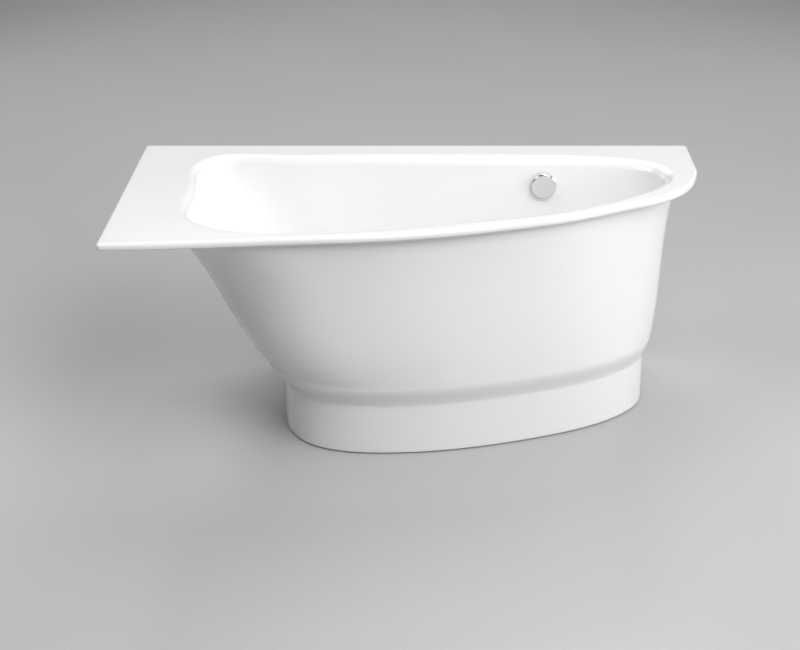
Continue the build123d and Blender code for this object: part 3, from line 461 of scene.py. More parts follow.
def ranged(
    tree: bpy.types.NodeTree, value: bpy.types.NodeSocket, low: float, high: float
) -> bpy.types.Node:
    """A range node that stretches part of a value's span, with its new ends left free.

    Args:
        tree: The node tree that it is added to.
        value: The value that it reads.
        low: The value that becomes the lower end.
        high: The value that becomes the upper end.

    Returns:
        The range node.
    """
    node = tree.nodes.new("ShaderNodeMapRange")
    fill(node, {"From Min": low, "From Max": high})
    tree.links.new(value, node.inputs["Value"])
    return node


@dataclass(frozen=True)
class Surface:
    """A shared effect: fine relief, uneven gloss and a second tone in places."""

    name: str
    second_color: str
    relief: str
    fine: Pair
    stretch: float
    cloud: Pair
    cloud_scale: float
    gloss_from_fine: bool
    gloss_span: Pair
    tone_span: Pair
    metallic: float = 0.0

    def build(self) -> bpy.types.NodeTree:
        """Makes the node group.

        Returns:
            The group, which puts out a colour, a roughness and a height.
        """
        group = new_group(
            self.name,
            {
                "Color": (0.8, 0.8, 0.8), self.second_color: (0.6, 0.6, 0.6), "Scale": 200.0, "Smooth": 0.2,
                "Dull": 0.3, self.relief: 0.5,
            },
            {"Color": "NodeSocketColor", "Roughness": "NodeSocketFloat", "Height": "NodeSocketFloat"},
        )
        nodes, links = group.nodes, group.links
        entry, leave = nodes["in"].outputs, nodes["out"].inputs
        place = nodes.new("ShaderNodeTexCoord").outputs["Object"]
        drawn = nodes.new("ShaderNodeMapping")
        fill(drawn, {"Scale": (1.0, 1.0, self.stretch)})
        links.new(place, drawn.inputs["Vector"])
        fine = noise(group, drawn.outputs["Vector"], *self.fine)
        links.new(entry["Scale"], fine.inputs["Scale"])
        cloud = noise(group, place, *self.cloud)
        fill(cloud, {"Scale": self.cloud_scale})
        gloss = ranged(group, (fine if self.gloss_from_fine else cloud).outputs["Fac"], *self.gloss_span)
        links.new(entry["Smooth"], gloss.inputs["To Min"])
        links.new(entry["Dull"], gloss.inputs["To Max"])
        links.new(gloss.outputs["Result"], leave["Roughness"])
        height = nodes.new("ShaderNodeMath")
        height.operation = "MULTIPLY"
        links.new(fine.outputs["Fac"], height.inputs[0])
        links.new(entry[self.relief], height.inputs[1])
        links.new(height.outputs["Value"], leave["Height"])
        tone = nodes.new("ShaderNodeMix")
        tone.data_type = "RGBA"
        patches = ranged(group, cloud.outputs["Fac"], *self.tone_span)
        links.new(patches.outputs["Result"], tone.inputs["Factor"])
        links.new(entry["Color"], tone.inputs["A"])
        links.new(entry[self.second_color], tone.inputs["B"])
        links.new(tone.outputs["Result"], leave["Color"])
        return group


CAST_SKIN = Surface(
    name="cast_skin", second_color="Tint", relief="Ripple", fine=(3.0, 0.55), stretch=1.0, cloud=(4.0, 0.6),
    cloud_scale=6.0, gloss_from_fine=False, gloss_span=(0.35, 0.65), tone_span=(0.3, 0.7),
)
METAL_GRAIN = Surface(
    name="metal_grain", second_color="Aged", relief="Line", fine=(4.0, 0.7), stretch=14.0, cloud=(5.0, 0.65),
    cloud_scale=40.0, gloss_from_fine=True, gloss_span=(0.3, 0.7), tone_span=(0.5, 0.75),
    metallic=1.0,
)
SURFACES = {
    Grain.GELCOAT: CAST_SKIN,
    Grain.MOULDED: CAST_SKIN,
    Grain.POLISHED: METAL_GRAIN,
    Grain.BRUSHED: METAL_GRAIN,
}


@dataclass(frozen=True)
class Finish:
    """One finish of the bath, with its own material."""

    slot: str
    grain: Grain
    color: Color
    tint: Color
    gloss: Pair
    scale: float = 250.0
    relief: float = 0.05
    coat: float = 0.0
    ior: float = 1.5
    coat_rough: float = 0.05
    relief_depth: float = 0.001

    def build(self, groups: dict[Grain, bpy.types.NodeTree]) -> bpy.types.Material:
        """Makes the material.

        Args:
            groups: The shared effect of each kind of grain.

        Returns:
            The material, named after its slot.
        """
        material = bpy.data.materials.new(self.slot)
        material.use_nodes = True
        tree = material.node_tree
        shader = tree.nodes["Principled BSDF"]
        surface = SURFACES[self.grain]
        fill(shader, {"Metallic": surface.metallic, "IOR": self.ior})
        fill(shader, {"Coat Weight": self.coat, "Coat Roughness": self.coat_rough})
        effect = tree.nodes.new("ShaderNodeGroup")
        effect.node_tree = groups[self.grain]
        fill(effect, {"Color": (*self.color, 1.0), surface.second_color: (*self.tint, 1.0)})
        fill(effect, {"Scale": self.scale, "Smooth": self.gloss[0], "Dull": self.gloss[1]})
        bump = tree.nodes.new("ShaderNodeBump")
        fill(bump, {"Strength": self.relief, "Distance": self.relief_depth})
        tree.links.new(effect.outputs["Color"], shader.inputs["Base Color"])
        tree.links.new(effect.outputs["Roughness"], shader.inputs["Roughness"])
        tree.links.new(effect.outputs["Height"], bump.inputs["Height"])
        tree.links.new(bump.outputs["Normal"], shader.inputs["Normal"])
        return material


FINISHES = (
    Finish("cast_stone", Grain.GELCOAT, (0.86, 0.86, 0.855), (0.845, 0.845, 0.84), (0.16, 0.22), 90.0, 0.012,
           coat=0.25),
    Finish("sealant", Grain.MOULDED, (0.8, 0.8, 0.78), (0.74, 0.74, 0.72), (0.4, 0.55), 300.0, 0.15),
    Finish("chrome", Grain.POLISHED, (0.86, 0.87, 0.88), (0.83, 0.84, 0.85), (0.04, 0.07), 120.0, 0.004),
    Finish("steel", Grain.BRUSHED, (0.62, 0.61, 0.6), (0.5, 0.49, 0.48), (0.22, 0.38), 260.0, 0.12),
    Finish("zinc_steel", Grain.BRUSHED, (0.66, 0.67, 0.7), (0.52, 0.53, 0.53), (0.25, 0.45), 180.0, 0.15),
    Finish("brass", Grain.BRUSHED, (0.72, 0.53, 0.24), (0.5, 0.35, 0.16), (0.2, 0.36), 220.0, 0.1),
    Finish("rubber", Grain.MOULDED, (0.03, 0.03, 0.032), (0.045, 0.045, 0.045), (0.5, 0.7), 500.0, 0.25),
    Finish("white_plastic", Grain.MOULDED, (0.78, 0.78, 0.76), (0.72, 0.72, 0.69), (0.28, 0.4), 400.0, 0.12),
    Finish("grey_plastic", Grain.MOULDED, (0.2, 0.205, 0.21), (0.24, 0.245, 0.25), (0.38, 0.52), 500.0, 0.2),
    Finish("hose_plastic", Grain.MOULDED, (0.62, 0.63, 0.64), (0.55, 0.56, 0.56), (0.35, 0.5), 400.0, 0.15),
    Finish("cable_sleeve", Grain.MOULDED, (0.03, 0.03, 0.034), (0.05, 0.05, 0.055), (0.35, 0.5), 600.0, 0.2),
    Finish("grey_pipe", Grain.MOULDED, (0.2, 0.215, 0.225), (0.24, 0.25, 0.26), (0.35, 0.5), 400.0, 0.15),
    Finish("pad_plastic", Grain.MOULDED, (0.035, 0.035, 0.037), (0.06, 0.06, 0.06), (0.45, 0.65), 500.0, 0.25),
)


@dataclass
class Paints:
    """The materials of the bath by slot."""

    materials: dict[str, bpy.types.Material] = field(default_factory=dict)

    def mix(self) -> None:
        """Builds the shared effects and every material."""
        built = {surface.name: surface.build() for surface in (CAST_SKIN, METAL_GRAIN)}
        groups = {grain: built[surface.name] for grain, surface in SURFACES.items()}
        for finish in FINISHES:
            self.materials[finish.slot] = finish.build(groups)

    def paint(self, thing: bpy.types.Object, slot: str) -> None:
        """Gives a piece the material of a slot as its only one."""
        thing.data.materials.clear()
        thing.data.materials.append(self.materials[slot])

    def dress_frame(self) -> dict[str, str]:
        """Gives every CAD piece the material of its slot in the record.

        Returns:
            The slot of each piece.
        """
        slots = {part["node"]: part["material_slot"] for part in frame["record"]["subparts"]}
        for node, slot in slots.items():
            self.paint(frame["nodes"][node], slot)
        return slots

    def set_piece(self, thing: bpy.types.Object, body: Body, slot: str, node: str) -> bpy.types.Object:
        """Dresses a piece in the material of its slot, sets it on its body and hides the CAD piece that it
        replaces.

        Args:
            thing: The piece.
            body: The body that it moves with.
            slot: The record's material slot.
            node: The CAD piece that it replaces.

        Returns:
            The piece.
        """
        self.paint(thing, slot)
        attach(thing, body.value)
        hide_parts(node)
        return thing


# The two castings


def spread(shares: Shares, length: float, width: float) -> np.ndarray:
    """Points of an outline from shares of the bath's length and width."""
    return np.array([(length * x, width * y) for x, y in shares])


def oriented(place: Place, lean: float) -> Matrix:
    """The overflow's frame: X along the bath, Y down the wall, Z outwards through the wall.

    Args:
        place: The frame's origin, on the wall's inner face.
        lean: The wall's slant from upright.

    Returns:
        The frame's matrix.
    """
    out = Vector((0.0, math.cos(lean), -math.sin(lean)))
    side = Vector((1.0, 0.0, 0.0))
    down = out.cross(side)
    turn = Matrix((side, down, out)).transposed().to_4x4()
    return Matrix.Translation(place) @ turn


@dataclass
class Basin:
    """The basin casting: flat deck with a rolled rim, bowl, and floor with its dished waste seat."""

    length: float = 1.5
    width: float = 0.75
    height: float = 0.64
    deck: float = 0.018
    corner: float = 0.012
    top_round: float = 0.009
    under_round: float = 0.006
    flat_strip: float = 0.0015
    depth: float = 0.45
    wall: float = 0.012
    roll: float = 0.03
    foot: float = 0.07
    waste: Pair = (0.348, 0.050025)
    waste_hole: float = 0.025
    seat_radius: float = 0.038
    dish_radius: float = 0.085
    dish_depth: float = 0.004
    fit: float = 0.001
    overflow: Place = OVERFLOW_PLACE
    overflow_lean: float = OVERFLOW_LEAN
    overflow_hole: float = 0.025
    spot_radius: float = 0.0325
    spot_depth: float = 0.001
    pad_radius: float = 0.042
    pad_depth: float = 0.014
    pad_round: float = 0.0015
    feet: Shares = ((-0.225, -0.105), (-0.225, 0.165), (0.47, -0.002025), (0.47, 0.15))
    boss_radius: float = 0.02
    boss_levels: Pair = (0.138, 0.1895)
    insert_radius: float = 0.01005
    insert_length: float = 0.036
    per_span: int = 16
    rim_per_span: int = 40
    corner_arm: int = 3
    round_steps: tuple[int, int] = (8, 6)
    roll_steps: int = 15
    wall_steps: int = 26
    foot_steps: int = 20
    dish_steps: int = 12
    deck_steps: Pair = (0.35, 0.7)
    floor_steps: tuple[float, ...] = (0.02, 0.12, 0.26, 0.42, 0.58, 0.74, 0.88)
    rim_shares: Shares = (
        (-0.5, -0.5), (-0.25, -0.4607), (0.0, -0.4045), (0.16, -0.3187), (0.2667, -0.2387),
        (0.3567, -0.1395), (0.4413, -0.029), (0.4813, 0.088), (0.4955, 0.1833), (0.5, 0.2453),
    )
    opening_shares: Shares = (
        (-0.3935, 0.09), (-0.3925, -0.09), (-0.381, -0.25), (-0.3367, -0.3507), (-0.2667, -0.404),
        (-0.16, -0.412), (-0.0267, -0.372), (0.1133, -0.3), (0.2467, -0.216), (0.36, -0.084),
        (0.4333, 0.0493), (0.4573, 0.16), (0.4367, 0.2733), (0.3733, 0.3427), (0.26, 0.3787),
        (0.0733, 0.3853), (-0.1267, 0.3853), (-0.2667, 0.3853), (-0.3585, 0.372), (-0.3925, 0.284),
    )
    floor_shares: Shares = (
        (-0.21, 0.0533), (-0.2073, -0.0267), (-0.1933, -0.088), (-0.1567, -0.1307), (-0.1033, -0.1507),
        (-0.0367, -0.1573), (0.0367, -0.1507), (0.1133, -0.1293), (0.1933, -0.0893), (0.2667, -0.0307),
        (0.3167, 0.0293), (0.3373, 0.0933), (0.3267, 0.1573), (0.28, 0.192), (0.2, 0.2027),
        (0.0733, 0.204), (-0.0467, 0.204), (-0.1267, 0.2), (-0.1767, 0.1813), (-0.202, 0.1267),
    )
    corner_marks: tuple[int, int, int, int] = (43, 179, 197, 294)

    def opening(self) -> np.ndarray:
        """The edge where the deck starts to roll into the bowl."""
        return smooth_curve(spread(self.opening_shares, self.length, self.width), self.per_span)

    def floor_line(self) -> np.ndarray:
        """The edge of the bowl's flat floor."""
        return smooth_curve(spread(self.floor_shares, self.length, self.width), self.per_span)

    def slopes(self) -> np.ndarray:
        """The angle at which the roll and the foot meet the wall between them.

        Returns:
            One angle per station round the bowl.
        """
        reach = np.linalg.norm(self.opening() - self.floor_line(), axis=1)
        rise = self.depth - self.roll - self.foot
        return np.arctan2(rise, reach) + np.arcsin((self.roll + self.foot) / np.hypot(reach, rise))

    def outline(self) -> tuple[np.ndarray, np.ndarray]:
        """The deck's outline, with as many points as the opening.

        Returns:
            The points and their outward normals.
        """
        total = len(self.opening())
        half_x, half_y, soft, arm = self.length / 2, self.width / 2, self.corner, self.corner_arm
        first, bend, right, left = self.corner_marks
        rim = spread(self.rim_shares, self.length, self.width)
        ends = (np.array([1.0, 0.0]), np.array([0.0, 1.0]))
        front = smooth_curve(rim, self.rim_per_span, False, ends)
        front = front[front[:, 0] > -half_x + soft]
        front[0] = (-half_x + soft, -half_y)
        points = np.zeros((total, 2))
        normals = np.zeros((total, 2))

        def lay(start: int, run: np.ndarray, facing: np.ndarray) -> None:
            """Sets a run of points and their normals from one station on."""
            stations = (start + np.arange(len(run))) % total
            points[stations], normals[stations] = run, facing

        line = evenly(front, bend - first - arm + 1)
        lay(first + arm, line, outward_normals(line, False))
        normals[first + arm] = (0.0, -1.0)
        in_x, in_y = half_x - soft, half_y - soft
        sides = (
            (bend, right - arm, (half_x, rim[-1][1]), (half_x, in_y), (1.0, 0.0)),
            (right + arm, left - arm, (in_x, half_y), (-in_x, half_y), (0.0, 1.0)),
            (left + arm, first + total - arm, (-half_x, in_y), (-half_x, -in_y), (-1.0, 0.0)),
        )
        for start, end, here, there, facing in sides:
            run = np.linspace(here, there, end - start + 1)
            lay(start, run, np.tile(facing, (len(run), 1)))
        turns = ((first, (-in_x, -in_y), 180.0), (right, (in_x, in_y), 0.0), (left, (-in_x, in_y), 90.0))
        for mark, centre, begin in turns:
            angles = np.radians(begin + np.linspace(0.0, 90.0, 2 * arm + 1))
            facing = np.stack([np.cos(angles), np.sin(angles)], axis=1)
            lay(mark - arm, np.array(centre) + soft * facing, facing)
        return points, normals

    def rim_rings(self) -> list[np.ndarray]:
        """Rings over the rounded rim.

        Returns:
            The rings from the flat deck to the deck's underside.
        """
        points, normals = self.outline()
        under = self.height - self.deck
        rings = [lifted(points - normals * (self.top_round + self.flat_strip), self.height)]
        for angle in np.radians(np.linspace(0.0, 90.0, self.round_steps[0])):
            inset = self.top_round * (1 - math.sin(angle))
            level = self.height - self.top_round * (1 - math.cos(angle))
            rings.append(lifted(points - normals * inset, level))
        for angle in np.radians(np.linspace(0.0, 90.0, self.round_steps[1])):
            inset = self.under_round * (1 - math.cos(angle))
            level = under + self.under_round * (1 - math.sin(angle))
            rings.append(lifted(points - normals * inset, level))
        rings.append(lifted(points - normals * (self.under_round + self.flat_strip), under))
        return rings

    def bowl_rings(self, skin: float, start: float) -> list[np.ndarray]:
        """Rings of one face of the bowl, from its mouth down to its floor.

        Args:
            skin: Thickness behind the inner face: nought for the inside, the wall for the outside.
            start: The angle of the roll at which the face begins.

        Returns:
            The rings from the top.
        """
        mouth, floor_line, slopes = self.opening(), self.floor_line(), self.slopes()
        mouth_out, floor_out = outward_normals(mouth, True), outward_normals(floor_line, True)
        roll, foot = self.roll - skin, self.foot + skin
        floor_level = self.height - self.depth
        rings = []
        for share in np.linspace(0.0, 1.0, self.roll_steps):
            turn = start + (slopes - start) * share
            flat = mouth - mouth_out * (roll * np.sin(turn))[:, None]
            rings.append(lifted(flat, self.height - self.roll + roll * np.cos(turn)))
        roll_end, foot_rings = rings[-1], []
        for share in np.linspace(1.0, 0.0, self.foot_steps):
            turn = slopes * share
            flat = floor_line + floor_out * (foot * np.sin(turn))[:, None]
            foot_rings.append(lifted(flat, floor_level + self.foot - foot * np.cos(turn)))
        for share in np.linspace(0.0, 1.0, self.wall_steps)[1:-1]:
            rings.append(roll_end * (1 - share) + foot_rings[0] * share)
        return rings + foot_rings

    def floor_rings(self, last: np.ndarray, skin: float) -> list[np.ndarray]:
        """Rings over the floor from its edge to the waste hole.

        Args:
            last: The floor's edge.
            skin: Thickness below the inner face.

        Returns:
            The rings towards the hole.
        """
        centre = np.array(self.waste)
        away = last[:, :2] - centre
        ways = away / np.linalg.norm(away, axis=1)[:, None]
        level = self.height - self.depth
        rings = []
        for share in self.floor_steps:
            target = centre + ways * (self.dish_radius + 2 * self.fit)
            rings.append(lifted(last[:, :2] * (1 - share) + target * share, level - skin))
        for radius in np.linspace(self.dish_radius, self.seat_radius, self.dish_steps):
            share = (radius - self.seat_radius) / (self.dish_radius - self.seat_radius)
            fall = self.dish_depth * (1 - share * share * (3 - 2 * share)) if skin == 0 else skin
            rings.append(lifted(centre + ways * radius, level - fall))
        for radius in (self.seat_radius - self.fit, self.waste_hole + self.fit, self.waste_hole):
            rings.append(lifted(centre + ways * radius, level - (self.dish_depth if skin == 0 else skin)))
        return rings

    def build(self) -> bpy.types.Object:
        """Makes the whole casting, with its bosses, its wall pad and the holes for fittings.

        Returns:
            The mesh object.
        """
        mouth = self.opening()
        inner = self.bowl_rings(0.0, 0.0)
        begin = math.acos((self.roll - self.deck) / (self.roll - self.wall))
        outer = self.bowl_rings(self.wall, begin)
        edge = lifted(mouth + outward_normals(mouth, True) * self.flat_strip, self.height)
        rim = self.rim_rings()[::-1]
        between = [rim[-1] * (1 - share) + edge * share for share in self.deck_steps]
        under = self.floor_rings(outer[-1], self.wall)[::-1] + outer[::-1]
        over = inner + self.floor_rings(inner[-1], 0.0)
        skin = Skin()
        numbers = skin.stack(under + rim + between + [edge] + over)
        skin.join(numbers[-1], numbers[0])
        return self.bored(skin.build("basin"))

    def bored(self, shell: bpy.types.Object) -> bpy.types.Object:
        """Adds the wall pad and the foot bosses to the shell, and cuts the holes for the fittings.

        Args:
            shell: The plain casting.

        Returns:
            The finished casting.
        """
        wall_place = oriented(self.overflow, self.overflow_lean)
        low, high = self.boss_levels
        soft, past = self.pad_round, 2 * self.fit
        added = [turned_disc("pad", self.pad_radius, self.wall / 2, self.pad_depth, wall_place, soft)]
        cut = [
            turned_disc("spot", self.spot_radius, -2 * past, self.spot_depth, wall_place),
            turned_disc("hole", self.overflow_hole, -past, self.pad_depth + past, wall_place),
        ]
        for x, y in self.feet:
            place = Matrix.Translation((x, y, 0.0))
            added.append(turned_disc("boss", self.boss_radius, high, low, place, soft))
            end = low + self.insert_length
            cut.append(turned_disc("bore", self.insert_radius, low - self.fit, end, place))
        combined(shell, added, "UNION")
        return combined(shell, cut, "DIFFERENCE")

    def set_up(self, paints: Paints) -> bpy.types.Object:
        """Builds and dresses the casting."""
        return paints.set_piece(self.build(), Body.BATH, "cast_stone", "basin_shell")


@dataclass
class Skirt:
    """The outer casting: body wall with its sloping head end, shoulder and plinth, open to the wall behind."""

    length: float = 1.5
    width: float = 0.75
    wall: float = 0.012
    bottom: float = 0.003
    plinth: float = 0.138
    shoulder: float = 0.062
    top: float = 0.62
    back: float = 0.355
    reach: float = 0.02
    head_reach: float = 0.046
    edge_round: float = 0.003
    first_level: float = 0.012
    level_gap: float = 0.004
    level_counts: tuple[int, int, int] = (8, 14, 40)
    round_steps: int = 6
    back_steps: int = 14
    per_span: int = 16
    plinth_shares: Shares = (
        (-0.2313, -0.0467), (-0.22, -0.1467), (-0.1873, -0.24), (-0.1333, -0.2947), (-0.0533, -0.312),
        (0.04, -0.296), (0.1333, -0.2533), (0.2267, -0.1907), (0.3067, -0.1173), (0.3733, -0.0187),
        (0.4047, 0.0667), (0.4147, 0.1533),
    )
    top_shares: Shares = (
        (-0.4233, -0.08), (-0.4133, -0.2333), (-0.3767, -0.3533), (-0.3033, -0.424), (-0.1933, -0.4213),
        (-0.0733, -0.3933), (0.04, -0.348), (0.1533, -0.288), (0.26, -0.2053), (0.36, -0.0853),
        (0.43, 0.0267), (0.4573, 0.1733),
    )
    head_shares: tuple[float, ...] = (1.0, 0.8, 0.45, 0.2, 0.05, 0.0, 0.0, 0.0, 0.0, 0.0, 0.0, 0.0)
    head_belly: Pair = (0.3, 0.7)
    foot_belly: Pair = (0.576, 1.92)

    def normals(self, points: np.ndarray) -> np.ndarray:
        """Outward normals at the outline's own points, square to the back at both ends.

        Args:
            points: The outline's points.

        Returns:
            One normal per point.
        """
        along = np.zeros_like(points)
        along[1:-1] = points[2:] - points[:-2]
        along[0] = (0.0, -1.0)
        along[-1] = (0.0, 1.0)
        along = along / np.linalg.norm(along, axis=1)[:, None]
        return np.stack([along[:, 1], -along[:, 0]], axis=1)

    def line(self, level: float, inset: float) -> np.ndarray:
        """The casting's outline at one height, from one back edge round the front to the other.

        Args:
            level: Height above the floor.
            inset: How far inside the outer face.

        Returns:
            The outline's points.
        """
        head = np.array(self.head_shares)
        points = spread(self.plinth_shares, self.length, self.width)
        if level > self.plinth:
            share = min(1.0, (level - self.plinth) / self.shoulder)
            soft = share * share * (3 - 2 * share)
            swell = (soft + math.sin(share * math.pi / 2)) / 2
            reaches = swell * (self.reach + (self.head_reach - self.reach) * head)
            points = points + self.normals(points) * reaches[:, None]
        if level > self.plinth + self.shoulder:
            low = self.plinth + self.shoulder
            rise = (level - low) / (self.top - low)
            swings = [
                rise * (1 + (1 - rise) * (high - low_term * rise))
                for high, low_term in (self.head_belly, self.foot_belly)
            ]
            swing = swings[1] + (swings[0] - swings[1]) * head
            top = spread(self.top_shares, self.length, self.width)
            points = points + (top - points) * swing[:, None]
        points = points - self.normals(points) * inset
        curve = smooth_curve(points, self.per_span, False, (np.array([0.0, -1.0]), np.array([0.0, 1.0])))
        ends = [np.linspace((x, self.back), (x, y), self.back_steps) for x, y in (curve[0], curve[-1])]
        return np.vstack([ends[0][:-1], curve, ends[1][::-1][1:]])

    def build(self) -> bpy.types.Object:
        """Makes the casting as one closed shell.

        Returns:
            The mesh object.
        """
        soft, low = self.edge_round, self.plinth + self.shoulder
        counts = self.level_counts
        levels = [
            *np.linspace(self.first_level, self.plinth - self.level_gap, counts[0]),
            *np.linspace(self.plinth, low, counts[1]),
            *np.linspace(low, self.top, counts[2])[1:],
        ]
        foot = []
        for angle in np.radians(np.linspace(0.0, 90.0, self.round_steps))[1:]:
            level = self.bottom + soft * (1 - math.cos(angle))
            foot.append(lifted(self.line(level, soft * (1 - math.sin(angle))), level))
        outside = [lifted(self.line(level, 0.0), level) for level in [self.bottom + soft, *levels]]
        inside = [lifted(self.line(level, self.wall), level) for level in [self.bottom, *levels]]
        skin = Skin()
        numbers = skin.stack(foot + outside + inside[::-1], closed=False)
        skin.join(numbers[-1], numbers[0], closed=False)
        for end in (0, -1):
            skin.cap(np.array([ring[end] for ring in numbers]))
        return skin.build("skirt")

    def set_up(self, paints: Paints) -> bpy.types.Object:
        """Builds and dresses the casting."""
        return paints.set_piece(self.build(), Body.BATH, "cast_stone", "outer_skirt")


@dataclass
class OverflowControl:
    """The round control on the bowl's back wall."""

    place: Place = OVERFLOW_PLACE
    lean: float = OVERFLOW_LEAN
    radius: float = 0.0345
    gap: float = 0.004
    depth: float = 0.016
    crown: float = 0.002
    rounding: float = 0.004
    wall: float = 0.0025
    hub: float = 0.008
    face_steps: int = 14
    edge_steps: int = 12
    segments: int = 128

    def build(self) -> bpy.types.Object:
        """Makes the knob: a crowned cap with a rounded rim, hollow behind.

        Returns:
            The mesh object.
        """
        front = -self.gap - self.depth
        rim = front + self.crown
        bend = (self.radius**2 + self.crown**2) / (2 * self.crown)
        profile = []
        reach = math.asin((self.radius - self.rounding) / bend)
        for angle in np.linspace(0.0, reach, self.face_steps):
            profile.append((bend * math.sin(angle), front + bend * (1 - math.cos(angle))))
        start = profile[-1]
        for angle in np.linspace(reach, math.pi / 2, self.edge_steps)[1:]:
            x = start[0] + self.rounding * (math.sin(angle) - math.sin(reach))
            y = start[1] + self.rounding * (math.cos(reach) - math.cos(angle))
            profile.append((x, y))
        edge, back, soft = profile[-1][0], -self.gap, EDGE_BREAK
        profile += [
            (edge, back - soft * 2), (edge, back - soft), (edge - soft, back), (edge - self.wall + soft, back),
            (edge - self.wall, back - soft), (edge - self.wall, rim + self.wall), (self.hub, rim + self.wall),
            (self.hub, back - soft), (self.hub - soft, back), (0.0, back),
        ]
        return lathe("control_knob", profile, self.segments, oriented(self.place, self.lean))

    def set_up(self, paints: Paints) -> bpy.types.Object:
        """Builds and dresses the knob."""
        return paints.set_piece(self.build(), Body.KNOB, "chrome", "overflow_knob")


@dataclass
class OverflowHose:
    """The corrugated hose from the overflow housing down the back of the bowl."""

    place: Place = OVERFLOW_PLACE
    lean: float = OVERFLOW_LEAN
    start: float = 0.049
    depth: float = 0.036
    length: float = 0.3102
    cuff: float = 0.017
    cuff_radius: float = 0.015
    root_radius: float = 0.0148
    crest_radius: float = 0.0175
    bore_radius: float = 0.01305
    ribs: int = 26
    per_rib: int = 12
    rib_fullness: float = 0.6
    segments: int = 64

    def build(self) -> bpy.types.Object:
        """Makes the hose: rounded ribs between two plain cuffs, with an open bore.

        Returns:
            The mesh object.
        """
        soft = EDGE_BREAK
        profile = [(self.bore_radius, 0.0), (self.cuff_radius - soft, 0.0), (self.cuff_radius, soft)]
        run = self.length - 2 * self.cuff
        middle = (self.root_radius + self.crest_radius) / 2
        swing = (self.crest_radius - self.root_radius) / 2
        for step in range(self.ribs * self.per_rib + 1):
            wave = math.cos(2 * math.pi * step / self.per_rib)
            swell = math.copysign(abs(wave) ** self.rib_fullness, wave)
            level = self.cuff + run * step / (self.ribs * self.per_rib)
            profile.append((middle - swing * swell, level))
        profile += [
            (self.cuff_radius, self.length - self.cuff + soft), (self.cuff_radius, self.length - soft),
            (self.cuff_radius - soft, self.length), (self.bore_radius, self.length),
        ]
        down = Matrix.Translation((0.0, self.start, self.depth)) @ Matrix.Rotation(-math.pi / 2, 4, "X")
        return lathe("corrugated_hose", profile, self.segments, oriented(self.place, self.lean) @ down)

    def set_up(self, paints: Paints) -> bpy.types.Object:
        """Builds and dresses the hose."""
        return paints.set_piece(self.build(), Body.BATH, "hose_plastic", "overflow_hose")


@dataclass
class DriveCable:
    """The sleeved cable from the overflow control to the waste, clipped to the back of the bowl."""

    radius: float = 0.0025
    steps: int = 24
    round_steps: int = 6
    curve_order: int = 3
    route: tuple[Place, ...] = (
        (0.385, 0.298286, 0.566207), (0.44, 0.298286, 0.566207), (0.44, 0.27731, 0.51428),
        (0.44, 0.2583, 0.4672), (0.44, 0.25282, 0.4175), (0.44, 0.23016, 0.2122),
        (0.44, 0.224676, 0.1625), (0.44, 0.174676, 0.1625), (0.44, 0.100025, 0.1625),
        (0.44, 0.050025, 0.1625), (0.405, 0.050025, 0.1625),
    )

    def build(self) -> bpy.types.Object:
        """Makes the sleeve as a round tube on one smooth line.

        Returns:
            The mesh object.
        """
        curve = bpy.data.curves.new("cable_line", "CURVE")
        curve.dimensions = "3D"
        curve.resolution_u = self.steps
        curve.bevel_depth = self.radius
        curve.bevel_resolution = self.round_steps
        curve.use_fill_caps = True
        spline = curve.splines.new("NURBS")
        spline.points.add(len(self.route) - 1)
        for point, place in zip(spline.points, self.route):
            point.co = (*place, 1.0)
        spline.order_u = self.curve_order
        spline.use_endpoint_u = True
        line = linked("cable_line", curve)
        view = bpy.context.evaluated_depsgraph_get()
        mesh = bpy.data.meshes.new_from_object(line.evaluated_get(view))
        bpy.data.objects.remove(line)
        tidy_mesh(mesh)
        return linked("cable_sleeve", mesh)

    def set_up(self, paints: Paints) -> bpy.types.Object:
        """Builds and dresses the sleeve."""
        return paints.set_piece(self.build(), Body.BATH, "cable_sleeve", "drive_cable")


# Studio


@dataclass(frozen=True)
class Softbox:
    """A soft rectangular lamp that faces the bath."""

    name: str
    azimuth: float
    elevation: float
    power: float
    size: Pair = (2.0, 2.0)
    reach: float = 4.6
    target: Place = (0.05, 0.0, 0.35)

    def hang(self) -> None:
        """Sets the lamp at its azimuth, measured from the front towards the foot end, and its elevation."""
        turn, rise = math.radians(self.azimuth), math.radians(self.elevation)
        target = Vector(self.target)
        place = target + self.reach * Vector(
            (math.sin(turn) * math.cos(rise), -math.cos(turn) * math.cos(rise), math.sin(rise))
        )
        data = bpy.data.lights.new(self.name, "AREA")
        data.shape = "RECTANGLE"
        data.size, data.size_y = self.size
        data.energy = self.power
        lamp = linked(self.name, data)
        lamp.location = place
        lamp.rotation_euler = (target - place).to_track_quat("-Z", "Y").to_euler()


SOFTBOXES = (
    Softbox("key", 25.0, 45.0, 94.0),
    Softbox("foot_side", 85.0, 18.0, 49.0),
    Softbox("high", 35.0, 65.0, 38.0),
    Softbox("foot_front", 60.0, 22.0, 57.0),
    Softbox("head_side", -70.0, 50.0, 60.0),
    Softbox("behind", 180.0, 60.0, 50.0),
    Softbox("floor_behind", 180.0, 75.0, 90.0, (4.0, 2.0), 4.0, (0.0, 3.9, 0.0)),
    Softbox("back_foot", 135.0, 20.0, 20.0),
    Softbox("back_head", -135.0, 20.0, 20.0),
)


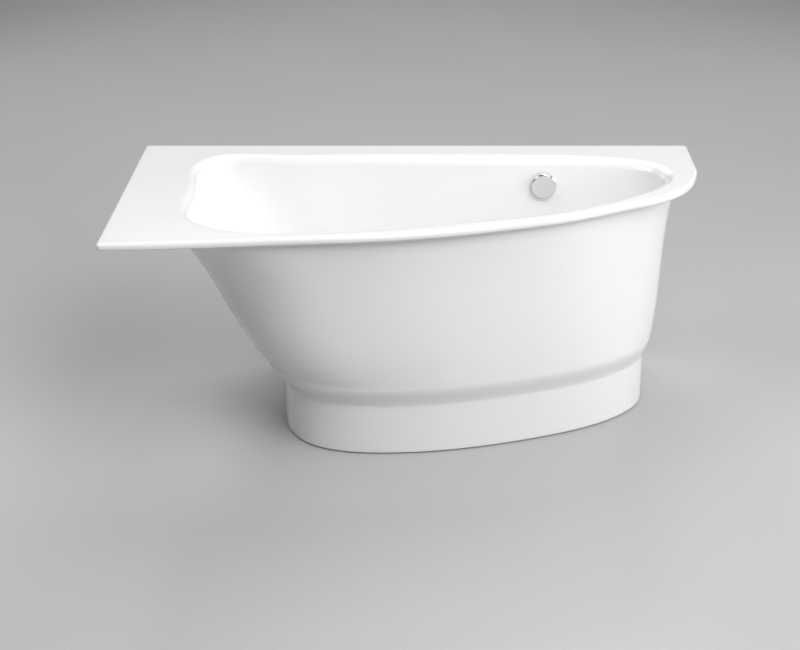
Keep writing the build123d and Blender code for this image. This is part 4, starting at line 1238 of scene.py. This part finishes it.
@dataclass
class Studio:
    """The floor, the lamps and the camera."""

    floor_color: Color = (0.45, 0.45, 0.455)
    floor_gloss: Pair = (0.34, 0.4)
    floor_cloud: Pair = (3.0, 0.5)
    floor_cloud_scale: float = 1.5
    floor_cloud_span: Pair = (0.3, 0.7)
    floor_size: float = 60.0
    room_light: float = 0.07
    backdrop_light: float = 0.3
    camera_place: Place = (0.05209, -3.9672, 2.06659)
    camera_pitch: float = 24.4607
    lens: float = 73.766
    sensor: float = 36.0
    shift: float = -0.04375

    def lay_floor(self) -> None:
        """Lays the plain pale floor."""
        bpy.ops.mesh.primitive_plane_add(size=self.floor_size, location=(0.0, 0.0, 0.0))
        floor = bpy.context.object
        floor.name = "studio_floor"
        material = bpy.data.materials.new("studio_floor")
        material.use_nodes = True
        tree = material.node_tree
        shader = tree.nodes["Principled BSDF"]
        place = tree.nodes.new("ShaderNodeTexCoord").outputs["Object"]
        cloud = noise(tree, place, *self.floor_cloud)
        fill(cloud, {"Scale": self.floor_cloud_scale})
        gloss = ranged(tree, cloud.outputs["Fac"], *self.floor_cloud_span)
        fill(gloss, {"To Min": self.floor_gloss[0], "To Max": self.floor_gloss[1]})
        tree.links.new(gloss.outputs["Result"], shader.inputs["Roughness"])
        fill(shader, {"Base Color": (*self.floor_color, 1.0)})
        floor.data.materials.append(material)
        floor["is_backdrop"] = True

    def light(self) -> None:
        """Hangs the softboxes, and sets the faint even light of the room and the paler backdrop."""
        for softbox in SOFTBOXES:
            softbox.hang()
        world = bpy.data.worlds.new("room")
        bpy.context.scene.world = world
        world.use_nodes = True
        tree = world.node_tree
        room, backdrop = tree.nodes["Background"], tree.nodes.new("ShaderNodeBackground")
        for background, strength in ((room, self.room_light), (backdrop, self.backdrop_light)):
            fill(background, {"Color": (1.0, 1.0, 1.0, 1.0), "Strength": strength})
        seen = tree.nodes.new("ShaderNodeMixShader")
        tree.links.new(tree.nodes.new("ShaderNodeLightPath").outputs["Is Camera Ray"], seen.inputs["Fac"])
        tree.links.new(room.outputs["Background"], seen.inputs[1])
        tree.links.new(backdrop.outputs["Background"], seen.inputs[2])
        tree.links.new(seen.outputs["Shader"], tree.nodes["World Output"].inputs["Surface"])

    def set_camera(self) -> None:
        """Sets the camera at the viewing angle of the photograph."""
        data = bpy.data.cameras.new("camera")
        data.lens = self.lens
        data.sensor_width = self.sensor
        data.shift_x = self.shift
        camera = linked("camera", data)
        camera.location = self.camera_place
        camera.rotation_euler = (math.radians(90.0 - self.camera_pitch), 0.0, 0.0)
        bpy.context.scene.camera = camera
        bpy.context.scene.view_settings.view_transform = "Standard"


def main() -> None:
    """Builds the scene in order: camera and light, floor, materials, castings, fittings."""
    logging.basicConfig(level=logging.INFO, format="%(message)s")
    studio = Studio()
    studio.set_camera()
    studio.light()
    studio.lay_floor()
    paints = Paints()
    paints.mix()
    for node, slot in paints.dress_frame().items():
        LOG.info("%s: solid of the CAD model, %s", node, slot)
    for part in (Basin(), Skirt(), OverflowControl(), OverflowHose(), DriveCable()):
        piece = part.set_up(paints)
        LOG.info("%s: built here with %d faces", piece.name, len(piece.data.polygons))
    boxes = {"cad": CAD_BOX, "visual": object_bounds()}
    {key: [list(map(float, corner)) for corner in box] for key, box in boxes.items()}


if __name__ == "__main__":
    main()
